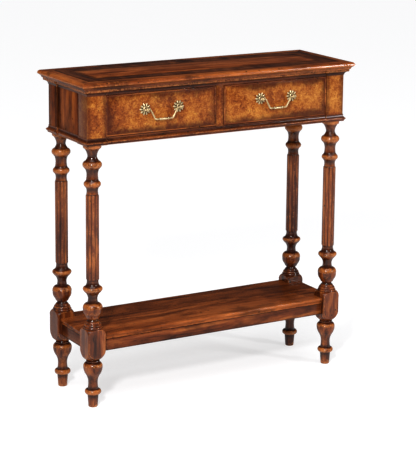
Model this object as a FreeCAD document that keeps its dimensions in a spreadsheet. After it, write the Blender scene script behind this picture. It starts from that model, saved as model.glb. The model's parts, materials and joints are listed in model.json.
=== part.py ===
import FreeCAD, Part
import Sketcher
import math
import os
import re

Vector = FreeCAD.Vector

# A narrow console table: a moulded top over a frieze with two drawers, carried
# on four turned and reeded legs that are tied together low down by a shelf.
# Millimetres, +X to the right, +Y to the back, +Z up, origin on the floor below
# the middle of the top.

doc = FreeCAD.newDocument("ConsoleTable")
sheet = doc.addObject("Spreadsheet::Sheet", "Sizes")

# ---- driving dimensions -------------------------------------------------------

mainSizes = {
    "tableHigh": 810,      # floor to the top surface
    "topLong": 775,        # over the moulded edge, left to right
    "topDeep": 257,        # over the moulded edge, front to back
    "topThick": 18,
    "lipWide": 30,         # solid edge strip, nose to panel
    "bandWide": 34,        # cross-grained border laid round the field
    "veneerThick": 1.2,
    "frameLong": 732,      # over the corner blocks
    "frameDeep": 214,
    "frameLow": 656,       # underside of the frieze
    "stileWide": 50,       # corner block seen from the front
    "stileDeep": 47,       # corner block seen from the end
    "breakOut": 3,         # corner blocks stand this far proud
    "panelThick": 16,
    "railDeep": 20,        # front rails, front to back
    "railHigh": 18,        # lower front rail
    "dividerWide": 21,
    "bedHigh": 16,         # moulding under the top
    "legApart": 686,       # leg centres, left to right
    "legDeep": 173,        # leg centres, front to back
    "legSquare": 48,       # square blocks of the leg
    "tenonRad": 11,
    "tenonLong": 34,
    "reedCount": 10,
    "reedRad": 5.2,
    "reedReach": 16.1,     # outside radius over the reeds
    "reedInset": 1,        # reeds stop this far short of the shaft's ends
    "shelfTop": 185,
    "shelfThick": 14,
    "shelfBack": 8,        # shelf edge behind the leg block's face
    "shelfRailHigh": 30,
    "shelfRailThick": 18,
    "shelfRailBack": 12,   # rail face behind the leg block's face
    "railTenonLong": 14,
    "railTenonThick": 8,
    "railTenonHigh": 20,
    "drawerGap": 1.5,      # round a drawer front in its opening
    "drawerDeep": 186,
    "drawerFace": 20,      # thickness of a drawer front
    "sideThick": 9,
    "sideHigh": 97,
    "sideInset": 0.5,      # drawer sides in from the ends of the front
    "lapDeep": 12,         # drawer side let into the back of the front
    "floorThick": 5,
    "floorRise": 4,        # drawer bottom above the sides' lower edge
    "grooveDeep": 4,
    "guideGap": 1,
    "slideFit": 0.3,       # between a drawer's sides and its runners
    "guideHigh": 16,
    "runnerThick": 10,
    "runnerWide": 26,
    "kickerWide": 30,
    "kickerGap": 2,
    "cockWide": 3,
    "cockDeep": 8,
    "cockProud": 1.2,
    "handleApart": 92,     # rosette centres on one drawer
    "handleHigh": 733.5,
    "rosetteRad": 15.5,
    "rosettePoints": 10,
    "rosetteValley": 0.76, # radius between two points, as a share of the full radius
    "rosetteThick": 2,
    "postRad": 3.2,
    "postEyeRad": 4.6,
    "postOut": 11.5,       # bail's axis in front of the drawer's face
    "nutRad": 5.5,
    "nutThick": 3,
    "bailRad": 1.8,
    "bailFit": 0.08,       # play round the bail's end in a post's eye
    "bailDrop": 25,
    "bailTurn": 62,        # degrees that each bend of the bail turns through
    "bailBend": 7,         # radius of each bend
    "bailTail": 7,         # bail's end past the middle of the post
    "bailBeadRad": 3.1,
    "bailBeadApart": 23,
    "screwRad": 2,
    "screwHeadRad": 4,
    "screwLong": 26,
    "screwFrontIn": 40,    # kicker screws from the front and back ends of the kicker
    "screwBackIn": 30,
}

# The leg's turning from the floor up: name, radius, height, and how far the line
# from the station below swells out (+) or is hollowed in (-).
turning = [
    ("sole", 9.2, 0, 0),
    ("toe", 11.4, 2.6, 0.8),
    ("peg", 13.6, 32.4, 0),
    ("ringFootLow", 14.4, 32.4, 0),
    ("ringFootHigh", 14.2, 45.6, 6.0),
    ("stepFoot", 13.2, 46.2, 0),
    ("neckFoot", 11.6, 63.6, -0.5),
    ("vaseFlank", 17.2, 82.6, -1.3),
    ("vaseBelly", 23.8, 103.6, 1.7),
    ("vaseTop", 17.0, 113.8, 2.0),
    ("beadFootLow", 15.6, 114.4, 0),
    ("beadFootHigh", 15.0, 119.4, 1.6),
    ("blockSeat", 14.6, 120.2, 0),
    ("blockLow", 32.6, 144.0, 3.6),
    ("blockHigh", 32.6, 184.0, 0),
    ("blockTop", 28.0, 198.2, 2.2),
    ("collarLow", 23.0, 200.6, 0.2),
    ("collarStep", 22.2, 206.0, 1.0),
    ("collarMid", 20.8, 206.4, 0),
    ("collarNotch", 19.4, 212.4, 1.0),
    ("collarTop", 17.4, 212.8, 0),
    ("collarNeck", 14.6, 218.4, 0.9),
    ("neckBall", 11.9, 223.4, -0.5),
    ("filletBall", 15.8, 226.4, 0),
    ("flankBall", 20.0, 234.4, -0.2),
    ("bellyBall", 23.7, 248.0, 1.4),
    ("topBall", 14.2, 264.8, 4.2),
    ("shoulderBall", 13.0, 265.6, 0),
    ("neckLow", 11.5, 277.2, -0.4),
    ("cupLow", 17.0, 289.8, -1.0),
    ("cupEdgeLow", 22.4, 295.8, 0.3),
    ("cupEdgeHigh", 22.2, 304.2, 1.9),
    ("cupTop", 15.0, 313.2, -1.4),
    ("shaftSeat", 14.2, 317.6, 0),
    ("shaftLow", 14.3, 319.4, 0),
    ("shaftHigh", 14.3, 537.0, 0),
    ("shaftNeck", 13.8, 544.0, -0.3),
    ("ringMidCove", 16.4, 552.4, -0.7),
    ("ringMidLow", 18.2, 554.4, 0),
    ("ringMidHigh", 17.8, 566.0, 2.9),
    ("ringMidTop", 14.6, 573.8, -0.9),
    ("waist", 13.8, 582.0, -0.2),
    ("ringTopCove", 16.4, 596.0, -0.8),
    ("ringTopLow", 19.6, 600.0, 0),
    ("ringTopHigh", 19.0, 615.4, 4.2),
    ("ringTopStep", 14.8, 619.8, -0.7),
    ("neckTop", 11.4, 628.0, -0.7),
    ("trumpet", 19.6, 647.8, -1.8),
    ("capLow", 21.4, 648.4, 0),
    ("capHigh", 22.0, 653.0, 0.5),
    ("capTop", 22.0, 656.0, 0),
]

# The sections of the mouldings from the underside round the front: name, how far
# out, how far up, and the swell of the line that arrives there. Out is counted from
# the outermost line of the top's edge and the shelf, and from the panels' face on
# the other two.
sections = {
    "lip": [("Heel", -8.5, 0, 0), ("Fillet", -8.5, 1.4, 0), ("Hollow", -1.3, 8.4, -1.1),
            ("Nose", -0.9, 12.2, 0.8), ("Crown", -6.2, 18, 1.3)],
    "bed": [("Fillet", 0.8, 0, 0), ("Cove", 9.3, 9.2, -2.4), ("Step", 10.5, 9.8, 0), ("Head", 10.5, 16, 0)],
    "base": [("Sole", 2.4, 0, 0), ("Hollow", 4.4, 4.4, -0.6), ("Nose", 4.6, 9.2, 1.4),
             ("Cove", 0.9, 17.1, -1.6), ("Head", 0.9, 18, 0)],
    "shelf": [("Heel", -3.4, 0, 0), ("Fillet", -3.4, 1.8, 0), ("Hollow", -1.8, 7, -0.9),
              ("Step", -0.9, 7.4, 0), ("Nose", -1.3, 13.1, 1.1), ("Crown", -2.6, 14, 0.3)],
}

aliases = dict(mainSizes)
for station, radius, height, _ in turning:
    aliases[station + "Rad"] = radius
    aliases[station + "Rise"] = height
for moulding, points in sections.items():
    for point, out, up, _ in points:
        aliases[moulding + point + "Out"] = out
        aliases[moulding + point + "Up"] = up

for row, (alias, number) in enumerate(aliases.items(), start=1):
    sheet.set(f"A{row}", alias)
    sheet.set(f"B{row}", str(number))
    sheet.setAlias(f"B{row}", alias)
doc.recompute()


def bind(formula):
    """Point each size name in a formula at its cell."""
    def named(found):
        word = found.group(0)
        return "Sizes." + word if word in aliases else word
    return re.sub(r"[A-Za-z_]\w*", named, str(formula))


def value(formula):
    """Work out a formula of size names as a plain number."""
    return float(sheet.evalExpression(bind(formula)))


subparts = []


def keep(piece, label):
    """Give a finished sub-part its name and add it to the list that is written."""
    piece.Label = label
    subparts.append(piece)
    return piece


def place(piece, x=0, y=0, z=0):
    for axis, formula in zip("xyz", (x, y, z)):
        piece.setExpression(f"Placement.Base.{axis}", bind(formula))
    return piece


# ---- makers -------------------------------------------------------------------

def box(name, low, size):
    """A plain board from its lowest corner and its size, both as formulas."""
    board = doc.addObject("Part::Box", name)
    for edge, formula in zip(("Length", "Width", "Height"), size):
        board.setExpression(edge, bind(formula))
    return place(board, *low)


def cylinder(name, radius, length, low, along="z"):
    rod = doc.addObject("Part::Cylinder", name)
    rod.setExpression("Radius", bind(radius))
    rod.setExpression("Height", bind(length))
    if along == "y":
        rod.Placement.Rotation = FreeCAD.Rotation(Vector(1, 0, 0), -90)
    return place(rod, *low)


def fuse(name, *pieces):
    joined = doc.addObject("Part::MultiFuse", name)
    joined.Shapes = list(pieces)
    return joined


def cut(name, base, *tools):
    """Take every tool out of the base."""
    result = doc.addObject("Part::Cut", name)
    result.Base = base
    result.Tool = tools[0] if len(tools) == 1 else fuse(name + "Tools", *tools)
    return result


def common(name, first, second):
    shared = doc.addObject("Part::Common", name)
    shared.Base = first
    shared.Tool = second
    return shared


def arcBetween(start, end, swell):
    """An arc that stands `swell` to the right of the line from start to end.

    A sketch's arcs run anticlockwise, so the second result says whether this one
    starts at `end`.
    """
    run = end - start
    half = run.Length / 2
    radius = (half * half + swell * swell) / (2 * abs(swell))
    toRight = Vector(run.y, -run.x, 0).normalize()
    offset = (radius - abs(swell)) * math.copysign(1, swell)
    centre = (start + end) * 0.5 - toRight * offset
    first, last = (start, end) if swell > 0 else (end, start)
    angles = [math.atan2(point.y - centre.y, point.x - centre.x) for point in (first, last)]
    if angles[1] < angles[0]:
        angles[1] += math.tau
    arc = Part.ArcOfCircle(Part.Circle(centre, Vector(0, 0, 1), radius), *angles)
    return arc, swell < 0


def drawOutline(sketch, corners):
    """A closed run of lines and arcs through corners given as (x, y) or (x, y, swell).

    Each corner is held to its two formulas, so the outline follows the sheet.
    """
    points = [Vector(value(corner[0]), value(corner[1]), 0) for corner in corners]
    swells = [value(corner[2]) if len(corner) > 2 else 0 for corner in corners]
    ends = []
    for index, (end, swell) in enumerate(zip(points, swells)):
        start = points[index - 1]
        if swell == 0:
            edge = sketch.addGeometry(Part.LineSegment(start, end), False)
            ends.append((edge, 1, 2))
            continue
        arc, backward = arcBetween(start, end, swell)
        edge = sketch.addGeometry(arc, False)
        ends.append((edge, 2, 1) if backward else (edge, 1, 2))
        sketch.addConstraint(Sketcher.Constraint("Radius", edge, arc.Radius))
    for index, (edge, _, endPoint) in enumerate(ends):
        for kind, formula in zip(("DistanceX", "DistanceY"), corners[index]):
            held = Sketcher.Constraint(kind, -1, 1, edge, endPoint, value(formula))
            number = sketch.addConstraint(held)
            sketch.setExpression(f"Constraints[{number}]", bind(formula))
        nextEdge, nextStart, _ = ends[(index + 1) % len(ends)]
        sketch.addConstraint(Sketcher.Constraint("Coincident", edge, endPoint, nextEdge, nextStart))
    return sketch


def originOf(body, role):
    """One of the body's own origin planes or axes."""
    return next(item for item in body.Origin.OriginFeatures if item.Role == role)


def bodySketch(body, name, plane, corners):
    """A closed outline on one of the body's own origin planes."""
    sketch = body.newObject("Sketcher::SketchObject", name)
    sketch.AttachmentSupport = [(originOf(body, plane), "")]
    sketch.MapMode = "FlatFace"
    return drawOutline(sketch, corners)


def looseSketch(name, corners, placement=None):
    """A closed outline that belongs to no body."""
    sketch = doc.addObject("Sketcher::SketchObject", name)
    if placement is not None:
        sketch.Placement = placement
    return drawOutline(sketch, corners)


def revolved(body, sketch, name, axis):
    feature = body.newObject("PartDesign::Revolution", name)
    feature.Profile = sketch
    feature.ReferenceAxis = (sketch, [axis])
    feature.Angle = 360
    return feature


def padded(body, sketch, name, length):
    """A pad that grows the same way on both sides of its sketch."""
    feature = body.newObject("PartDesign::Pad", name)
    feature.Profile = sketch
    feature.SideType = "Symmetric"
    feature.setExpression("Length", bind(length))
    return feature


def withdrawn(body, name, low, size):
    """Take a plain box out of the body."""
    feature = body.newObject("PartDesign::SubtractiveBox", name)
    for edge, formula in zip(("Length", "Width", "Height"), size):
        feature.setExpression(edge, bind(formula))
    return place(feature, *low)


def swept(name, section, path):
    """A section carried round a path with square corners."""
    moulding = doc.addObject("Part::Sweep", name)
    moulding.Sections = [section]
    moulding.Spine = (path, [f"Edge{number + 1}" for number in range(len(path.Geometry))])
    moulding.Solid = True
    moulding.Transition = "Right corner"
    return moulding


# ---- mouldings ----------------------------------------------------------------

upright = FreeCAD.Rotation(Vector(0, -1, 0), Vector(0, 0, 1), Vector(-1, 0, 0), "ZXY")
sides = ("front", "right", "back", "left")


def outlineOf(moulding, line, low):
    """A section's points as formulas, counted out from `line` and up from `low`."""
    return [(f"{line} + {moulding}{point}Out", f"{low} + {moulding}{point}Up", swell)
            for point, _, _, swell in sections[moulding]]


def sectionAt(moulding, line, low, inner, high):
    """A moulding's section, upright in the plane x = 0 with its nose to the front,
    closed by a flat back at `inner` from `low` up to `high`."""
    corners = [(inner, low)] + outlineOf(moulding, line, low) + [(inner, high)]
    return looseSketch(f"{moulding}_section", corners, FreeCAD.Placement(Vector(), upright))


def ringPath(name, quarter):
    """A closed path round the frame, from the corners of one quarter as distances
    (aside, ahead) from the middle, first the one nearest the middle of the front."""
    back = quarter[::-1]
    corners = [(0, f"-({quarter[0][1]})")]
    corners += [(x, f"-({y})") for x, y in quarter]
    corners += [(x, y) for x, y in back]
    corners += [(f"-({x})", y) for x, y in quarter]
    corners += [(f"-({x})", f"-({y})") for x, y in back]
    return looseSketch(name, corners)


def mitreWedge(side, corners):
    """An upright wedge between two mitre lines, long enough for every moulding."""
    wedge = doc.addObject("Part::Extrusion", f"mitre_{side}")
    wedge.Base = looseSketch(f"mitre_{side}_plan", corners)
    wedge.DirMode = "Custom"
    wedge.Dir = Vector(0, 0, 1)
    wedge.Solid = True
    wedge.setExpression("LengthFwd", bind("tableHigh + 100"))
    return wedge


spread = "(topLong - topDeep) / 2"
reach = "topLong"
far = f"{spread} + {reach}"
wedges = {
    "front": mitreWedge("front", [(f"-({far})", f"-{reach}"), (far, f"-{reach}"), (spread, 0),
                                  (f"-{spread}", 0)]),
    "right": mitreWedge("right", [(spread, 0), (far, f"-{reach}"), (far, reach)]),
    "back": mitreWedge("back", [(far, reach), (f"-({far})", reach), (f"-{spread}", 0),
                                (spread, 0)]),
    "left": mitreWedge("left", [(f"-{spread}", 0), (f"-({far})", reach), (f"-({far})", f"-{reach}")]),
}


def mitredSides(ring, label):
    """Cut a ring of moulding into its four lengths, mitred at the corners."""
    for side in sides:
        keep(common(f"{label}_{side}_length", ring, wedges[side]), f"{label}_{side}")


# ---- turned legs --------------------------------------------------------------

quarterSwell = 1 - 1 / math.sqrt(2)      # rise of a quarter circle over its chord, per radius


def leg(label, x, y):
    """One leg, turned from a square blank, with its mortises towards +X and +Y."""
    body = doc.addObject("PartDesign::Body", label + "_body")
    outline = [(0, 0)] + [(f"{name}Rad", f"{name}Rise", swell) for name, _, _, swell in turning]
    outline += [("tenonRad", "capTopRise"), ("tenonRad", "capTopRise + tenonLong"),
                (0, "capTopRise + tenonLong")]
    profile = bodySketch(body, label + "_profile", "XZ_Plane", outline)
    revolved(body, profile, label + "_turning", "V_Axis")
    doc.recompute()
    before = body.Shape.Volume

    square = [("-legSquare / 2", "-legSquare / 2"), ("legSquare / 2", "-legSquare / 2"),
              ("legSquare / 2", "legSquare / 2"), ("-legSquare / 2", "legSquare / 2")]
    plan = bodySketch(body, label + "_flats_plan", "XY_Plane", square)
    drawOutline(plan, [(f"2 * ({u})", f"2 * ({v})") for u, v in square])
    flats = body.newObject("PartDesign::Pocket", label + "_flats")
    flats.Profile = plan
    flats.Type = "ThroughAll"
    flats.SideType = "Symmetric"
    doc.recompute()
    assert body.Shape.Volume < before, label + ": the flats cut nothing"

    reedLow = "shaftLowRise + reedInset"
    reedTop = "shaftHighRise - reedInset"
    domed = f"reedRad * {quarterSwell:.6f}"
    reedPlan = [(0, reedLow), ("reedRad", f"{reedLow} + reedRad", domed),
                ("reedRad", f"{reedTop} - reedRad"), (0, reedTop, domed)]
    reedSketch = bodySketch(body, label + "_reed_plan", "XZ_Plane", reedPlan)
    reedSketch.setExpression("AttachmentOffset.Base.x", bind("reedReach - reedRad"))
    reed = revolved(body, reedSketch, label + "_reed", "V_Axis")
    reeds = body.newObject("PartDesign::PolarPattern", label + "_reeds")
    reeds.Originals = [reed]
    reeds.Axis = (originOf(body, "Z_Axis"), [""])
    reeds.Angle = 360
    reeds.setExpression("Occurrences", bind("reedCount"))
    body.Tip = reeds
    doc.recompute()

    railMiddle = "-legSquare / 2 + shelfRailBack + shelfRailThick / 2 - railTenonThick / 2"
    mortiseLow = "shelfTop - shelfThick - shelfRailHigh / 2 - railTenonHigh / 2"
    mortiseIn = "legSquare / 2 - railTenonLong"
    withdrawn(body, label + "_mortise_long", (mortiseIn, railMiddle, mortiseLow),
              ("railTenonLong + 1", "railTenonThick", "railTenonHigh"))
    withdrawn(body, label + "_mortise_short", (railMiddle, mortiseIn, mortiseLow),
              ("railTenonThick", "railTenonLong + 1", "railTenonHigh"))
    place(body, x, y)
    return keep(body, label)


def legTwin(label, original, x, y, turn):
    """Another leg of the same turning, turned about its axis to face inwards."""
    body = doc.addObject("PartDesign::Body", label + "_body")
    twin = doc.addObject("PartDesign::FeatureBase", label + "_twin")
    twin.BaseFeature = original
    body.Group = [twin]
    body.Tip = twin
    body.Placement.Rotation = FreeCAD.Rotation(Vector(0, 0, 1), turn)
    place(body, x, y)
    return keep(body, label)


legX = "legApart / 2"
legY = "legDeep / 2"
firstLeg = leg("leg_front_left", f"-{legX}", f"-{legY}")
legTwin("leg_front_right", firstLeg, legX, f"-{legY}", 90)
legTwin("leg_back_right", firstLeg, legX, legY, 180)
legTwin("leg_back_left", firstLeg, f"-{legX}", legY, 270)

# ---- lower shelf --------------------------------------------------------------

faceX = "(legApart / 2 + legSquare / 2)"
faceY = "(legDeep / 2 + legSquare / 2)"
innerX = "(legApart / 2 - legSquare / 2)"
innerY = "(legDeep / 2 - legSquare / 2)"


def boardSection(edge):
    """The shelf's section: a nosed upper edge over a hollow, alike at both ends."""
    right = outlineOf("shelf", edge, "shelfTop - shelfThick")
    swells = [0] + [swell for _, _, swell in right[:0:-1]]
    left = [(f"-({out})", up, swell) for (out, up, _), swell in zip(right[::-1], swells)]
    return right + left


shelf = doc.addObject("PartDesign::Body", "shelf_body")
acrossSketch = bodySketch(shelf, "shelf_across", "YZ_Plane", boardSection(f"{faceY} - shelfBack"))
padded(shelf, acrossSketch, "shelf_long", f"2 * {innerX}")
alongSketch = bodySketch(shelf, "shelf_along", "XZ_Plane", boardSection(f"{faceX} - shelfBack"))
padded(shelf, alongSketch, "shelf_short", f"2 * {innerY}")
keep(shelf, "shelf_board")

railLow = "shelfTop - shelfThick - shelfRailHigh"
tenonLow = f"{railLow} + shelfRailHigh / 2 - railTenonHigh / 2"
tenonIn = "shelfRailThick / 2 - railTenonThick / 2"
for side, sign in (("front", -1), ("back", 1)):
    start = f"-{faceY} + shelfRailBack" if sign < 0 else f"{faceY} - shelfRailBack - shelfRailThick"
    rail = box(f"rail_{side}", (f"-{innerX}", start, railLow),
               (f"2 * {innerX}", "shelfRailThick", "shelfRailHigh"))
    tenon = box(f"rail_{side}_tenon", (f"-{innerX} - railTenonLong", f"{start} + {tenonIn}", tenonLow),
                (f"2 * ({innerX} + railTenonLong)", "railTenonThick", "railTenonHigh"))
    keep(fuse(f"rail_{side}_whole", rail, tenon), f"shelf_rail_{side}")
for side, sign in (("left", -1), ("right", 1)):
    start = f"-{faceX} + shelfRailBack" if sign < 0 else f"{faceX} - shelfRailBack - shelfRailThick"
    rail = box(f"rail_{side}", (start, f"-{innerY}", railLow),
               ("shelfRailThick", f"2 * {innerY}", "shelfRailHigh"))
    tenon = box(f"rail_{side}_tenon", (f"{start} + {tenonIn}", f"-{innerY} - railTenonLong", tenonLow),
                ("railTenonThick", f"2 * ({innerY} + railTenonLong)", "railTenonHigh"))
    keep(fuse(f"rail_{side}_whole", rail, tenon), f"shelf_rail_{side}")

# ---- frieze -------------------------------------------------------------------

halfLong = "frameLong / 2"
halfDeep = "frameDeep / 2"
friezeTop = "tableHigh - topThick"
friezeHigh = f"({friezeTop} - frameLow)"
stileX = f"({halfLong} - stileWide)"
stileY = f"({halfDeep} - stileDeep)"
faceLong = f"({halfLong} - breakOut)"
faceDeep = f"({halfDeep} - breakOut)"
railInner = f"(-{faceDeep} + railDeep)"
backInner = f"({faceDeep} - panelThick)"

for endName, endSign in (("front", -1), ("back", 1)):
    for sideName, sideSign in (("left", -1), ("right", 1)):
        name = f"corner_block_{endName}_{sideName}"
        lowX = f"-{halfLong}" if sideSign < 0 else stileX
        lowY = f"-{halfDeep}" if endSign < 0 else stileY
        solid = box(name + "_solid", (lowX, lowY, "frameLow"), ("stileWide", "stileDeep", friezeHigh))
        bore = cylinder(name + "_bore", "tenonRad", "tenonLong",
                        (f"{sideSign} * {legX}", f"{endSign} * {legY}", "frameLow"))
        keep(cut(name + "_bored", solid, bore), name)

for side, low in (("left", f"-{faceLong}"), ("right", f"{faceLong} - panelThick")):
    keep(box(f"end_{side}", (low, f"-{stileY}", "frameLow"), ("panelThick", f"2 * {stileY}", friezeHigh)),
         f"end_panel_{side}")
keep(box("back_board", (f"-{stileX}", backInner, "frameLow"), (f"2 * {stileX}", "panelThick", friezeHigh)),
     "back_panel")
keep(box("rail_low", (f"-{stileX}", f"-{faceDeep}", "frameLow"), (f"2 * {stileX}", "railDeep", "railHigh")),
     "drawer_rail_lower")
keep(box("divider", ("-dividerWide / 2", f"-{faceDeep}", "frameLow + railHigh"),
         ("dividerWide", "railDeep", f"{friezeHigh} - railHigh - bedHigh")), "drawer_divider")

# ---- runners that the drawers slide on ----------------------------------------

runnerTop = "(frameLow + railHigh + drawerGap - slideFit)"
runnerLow = f"{runnerTop} - runnerThick"
runnerDeep = f"({backInner} - {railInner})"
middleBase = box("runner_middle_base", ("-dividerWide / 2 - runnerWide", railInner, runnerLow),
                 ("dividerWide + 2 * runnerWide", runnerDeep, "runnerThick"))
middleGuide = box("runner_middle_guide", ("-dividerWide / 2", railInner, runnerTop),
                  ("dividerWide", runnerDeep, "guideHigh"))
keep(fuse("runner_middle", middleBase, middleGuide), "drawer_runner_middle")
guideFace = f"({stileX} - guideGap)"
endInner = f"({faceLong} - panelThick)"
for side in ("left", "right"):
    def span(near, away):
        """Lowest x of what lies between two distances from the middle, on this side."""
        return f"-{away}" if side == "left" else near
    base = box(f"runner_{side}_base", (span(f"{stileX} - runnerWide", stileX), railInner, runnerLow),
               ("runnerWide", runnerDeep, "runnerThick"))
    filler = box(f"runner_{side}_filler", (span(stileX, endInner), f"-{stileY}", runnerLow),
                 (f"{endInner} - {stileX}", f"2 * {stileY}", "runnerThick"))
    guide = box(f"runner_{side}_guide", (span(guideFace, endInner), f"-{stileY}", runnerTop),
                (f"{endInner} - {guideFace}", f"2 * {stileY}", "guideHigh"))
    keep(fuse(f"runner_{side}", base, filler, guide), f"drawer_runner_{side}")

# ---- screws that hold the top -------------------------------------------------

drawerWide = f"({stileX} - dividerWide / 2 - 2 * drawerGap)"
drawerX = f"(dividerWide / 2 + drawerGap + {drawerWide} / 2)"
kickerLow = f"{friezeTop} - bedHigh - kickerGap"
railTopLow = f"{friezeTop} - bedHigh"


def screw(name, x, y, low):
    """A countersunk screw that points up, its head flush at the bottom."""
    head = doc.addObject("Part::Cone", name + "_head")
    head.setExpression("Radius1", bind("screwHeadRad"))
    head.setExpression("Radius2", bind("screwRad"))
    head.setExpression("Height", bind("screwHeadRad - screwRad"))
    place(head, x, y, low)
    shank = cylinder(name + "_shank", "screwRad", "screwLong", (x, y, low))
    return fuse(name, head, shank)


screws = []
for number, sign in enumerate((-1, 1)):
    screwX = f"{sign} * {drawerX}"
    for rank, y in enumerate((f"{railInner} + screwFrontIn", f"{backInner} - screwBackIn")):
        screws.append(screw(f"kicker_screw_{number}{rank}", screwX, y, kickerLow))
    screws.append(screw(f"rail_screw_{number}", screwX, f"-{faceDeep} + railDeep / 2", railTopLow))
screwSet = doc.addObject("Part::Compound", "screw_set")
screwSet.Links = screws
keep(screwSet, "top_screws")

railTop = box("rail_top", (f"-{stileX}", f"-{faceDeep}", railTopLow),
              (f"2 * {stileX}", "railDeep", "bedHigh"))
keep(cut("rail_top_drilled", railTop, screws[2], screws[5]), "drawer_rail_upper")
for side, sign, pair in (("left", -1, screws[0:2]), ("right", 1, screws[3:5])):
    strip = box(f"kicker_{side}_strip", (f"{sign} * {drawerX} - kickerWide / 2", railInner, kickerLow),
                ("kickerWide", runnerDeep, "bedHigh + kickerGap"))
    keep(cut(f"kicker_{side}_drilled", strip, *pair), f"drawer_kicker_{side}")

# ---- top ----------------------------------------------------------------------

lipInX = "(topLong / 2 - lipWide)"
lipInY = "(topDeep / 2 - lipWide)"
fieldX = f"({lipInX} - bandWide)"
fieldY = f"({lipInY} - bandWide)"
core = box("top_core", (f"-{lipInX}", f"-{lipInY}", friezeTop),
           (f"2 * {lipInX}", f"2 * {lipInY}", "topThick - veneerThick"))
keep(cut("top_core_drilled", core, screwSet), "top_panel")
bandOuter = box("band_outer", (f"-{lipInX}", f"-{lipInY}", "tableHigh - veneerThick"),
                (f"2 * {lipInX}", f"2 * {lipInY}", "veneerThick"))
bandInner = box("band_inner", (f"-{fieldX}", f"-{fieldY}", "tableHigh - veneerThick"),
                (f"2 * {fieldX}", f"2 * {fieldY}", "veneerThick"))
keep(cut("band", bandOuter, bandInner), "top_crossband")
keep(box("field", (f"-{fieldX}", f"-{fieldY}", "tableHigh - veneerThick"),
         (f"2 * {fieldX}", f"2 * {fieldY}", "veneerThick")), "top_field_veneer")

lipSection = sectionAt("lip", "topDeep / 2", friezeTop, lipInY, "tableHigh")
lipPath = ringPath("lip_path", [("topLong / 2", "topDeep / 2")])
mitredSides(swept("lip_ring", lipSection, lipPath), "top_edge")

# ---- mouldings that break forward round the corner blocks ----------------------

brokenQuarter = [(stileX, faceDeep), (stileX, halfDeep), (halfLong, halfDeep),
                 (halfLong, stileY), (faceLong, stileY)]
bedSection = sectionAt("bed", faceDeep, railTopLow, faceDeep, friezeTop)
mitredSides(swept("bed_ring", bedSection, ringPath("bed_path", brokenQuarter)), "bed_moulding")
baseSection = sectionAt("base", faceDeep, "frameLow", faceDeep, "frameLow + baseHeadUp")
mitredSides(swept("base_ring", baseSection, ringPath("base_path", brokenQuarter)), "base_moulding")

# ---- drawers ------------------------------------------------------------------

drawerLow = "(frameLow + railHigh + drawerGap)"
drawerHigh = f"({railTopLow} - 2 * drawerGap - frameLow - railHigh)"


def bent(name, middle, start, turn):
    """A bend of the bail: part of a ring in the x-z plane round `middle`, from the
    angle `start` on through `turn` degrees, both counted from +X towards +Z."""
    ring = doc.addObject("Part::Torus", name)
    ring.setExpression("Radius1", bind("bailBend"))
    ring.setExpression("Radius2", bind("bailRad"))
    ring.setExpression("Angle3", bind(turn))
    lie = FreeCAD.Rotation(Vector(1, 0, 0), 90)
    ring.Placement.Rotation = lie * FreeCAD.Rotation(Vector(0, 0, 1), value(start))
    return place(ring, middle[0], middle[1], middle[2])


def straight(name, start, length, rise):
    """A straight run of the bail in the x-z plane, `rise` degrees up from +X."""
    rod = cylinder(name, "bailRad", length, start)
    rod.Placement.Rotation = FreeCAD.Rotation(Vector(0, 1, 0), 90 - value(rise))
    return rod


def bailHalf(label, side, x, y, z):
    """The bail from the middle of its lower run up to its end, on one side (-1 or 1)."""
    bendAside = "(bailBend * sin(bailTurn))"
    bendDown = "(bailBend * (1 - cos(bailTurn)))"
    slantDown = f"(bailDrop - 2 * {bendDown})"
    slantAside = f"({slantDown} / tan(bailTurn))"
    highX = "(handleApart / 2 - postEyeRad)"
    lowX = f"({highX} - 2 * {bendAside} - {slantAside})"
    lowZ = f"{z} - bailDrop"

    def out(distance):
        return f"{x} + {side} * ({distance})"

    def onThisSide(angle):
        return angle if side > 0 else f"180 - ({angle})"

    # A bend turns the other way on the left side, so there it starts at its far end.
    lowBend = "-90" if side > 0 else "-90 - bailTurn"
    highBend = "90" if side > 0 else "90 - bailTurn"
    pieces = [
        straight(f"{label}_run", (x, y, lowZ), lowX, onThisSide("0")),
        bent(f"{label}_low_bend", (out(lowX), y, f"{lowZ} + bailBend"), lowBend, "bailTurn"),
        straight(f"{label}_slant", (out(f"{lowX} + {bendAside}"), y, f"{lowZ} + {bendDown}"),
                 f"{slantDown} / sin(bailTurn)", onThisSide("bailTurn")),
        bent(f"{label}_high_bend", (out(highX), y, f"{z} - bailBend"), highBend, "bailTurn"),
        straight(f"{label}_end", (out(highX), y, z), "postEyeRad + bailTail", onThisSide("0")),
    ]
    bead = doc.addObject("Part::Sphere", f"{label}_bead")
    bead.setExpression("Radius", bind("bailBeadRad"))
    # The poles of the bead lie on the run that it is threaded on.
    bead.Placement.Rotation = FreeCAD.Rotation(Vector(0, 1, 0), 90)
    pieces.append(place(bead, out("bailBeadApart / 2"), y, lowZ))
    return pieces


def bail(label, x, y, z):
    leftHalf = bailHalf(f"{label}_left", -1, x, y, z)
    rightHalf = bailHalf(f"{label}_right", 1, x, y, z)
    return keep(fuse(f"{label}_whole", *leftHalf, *rightHalf), label)


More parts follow.
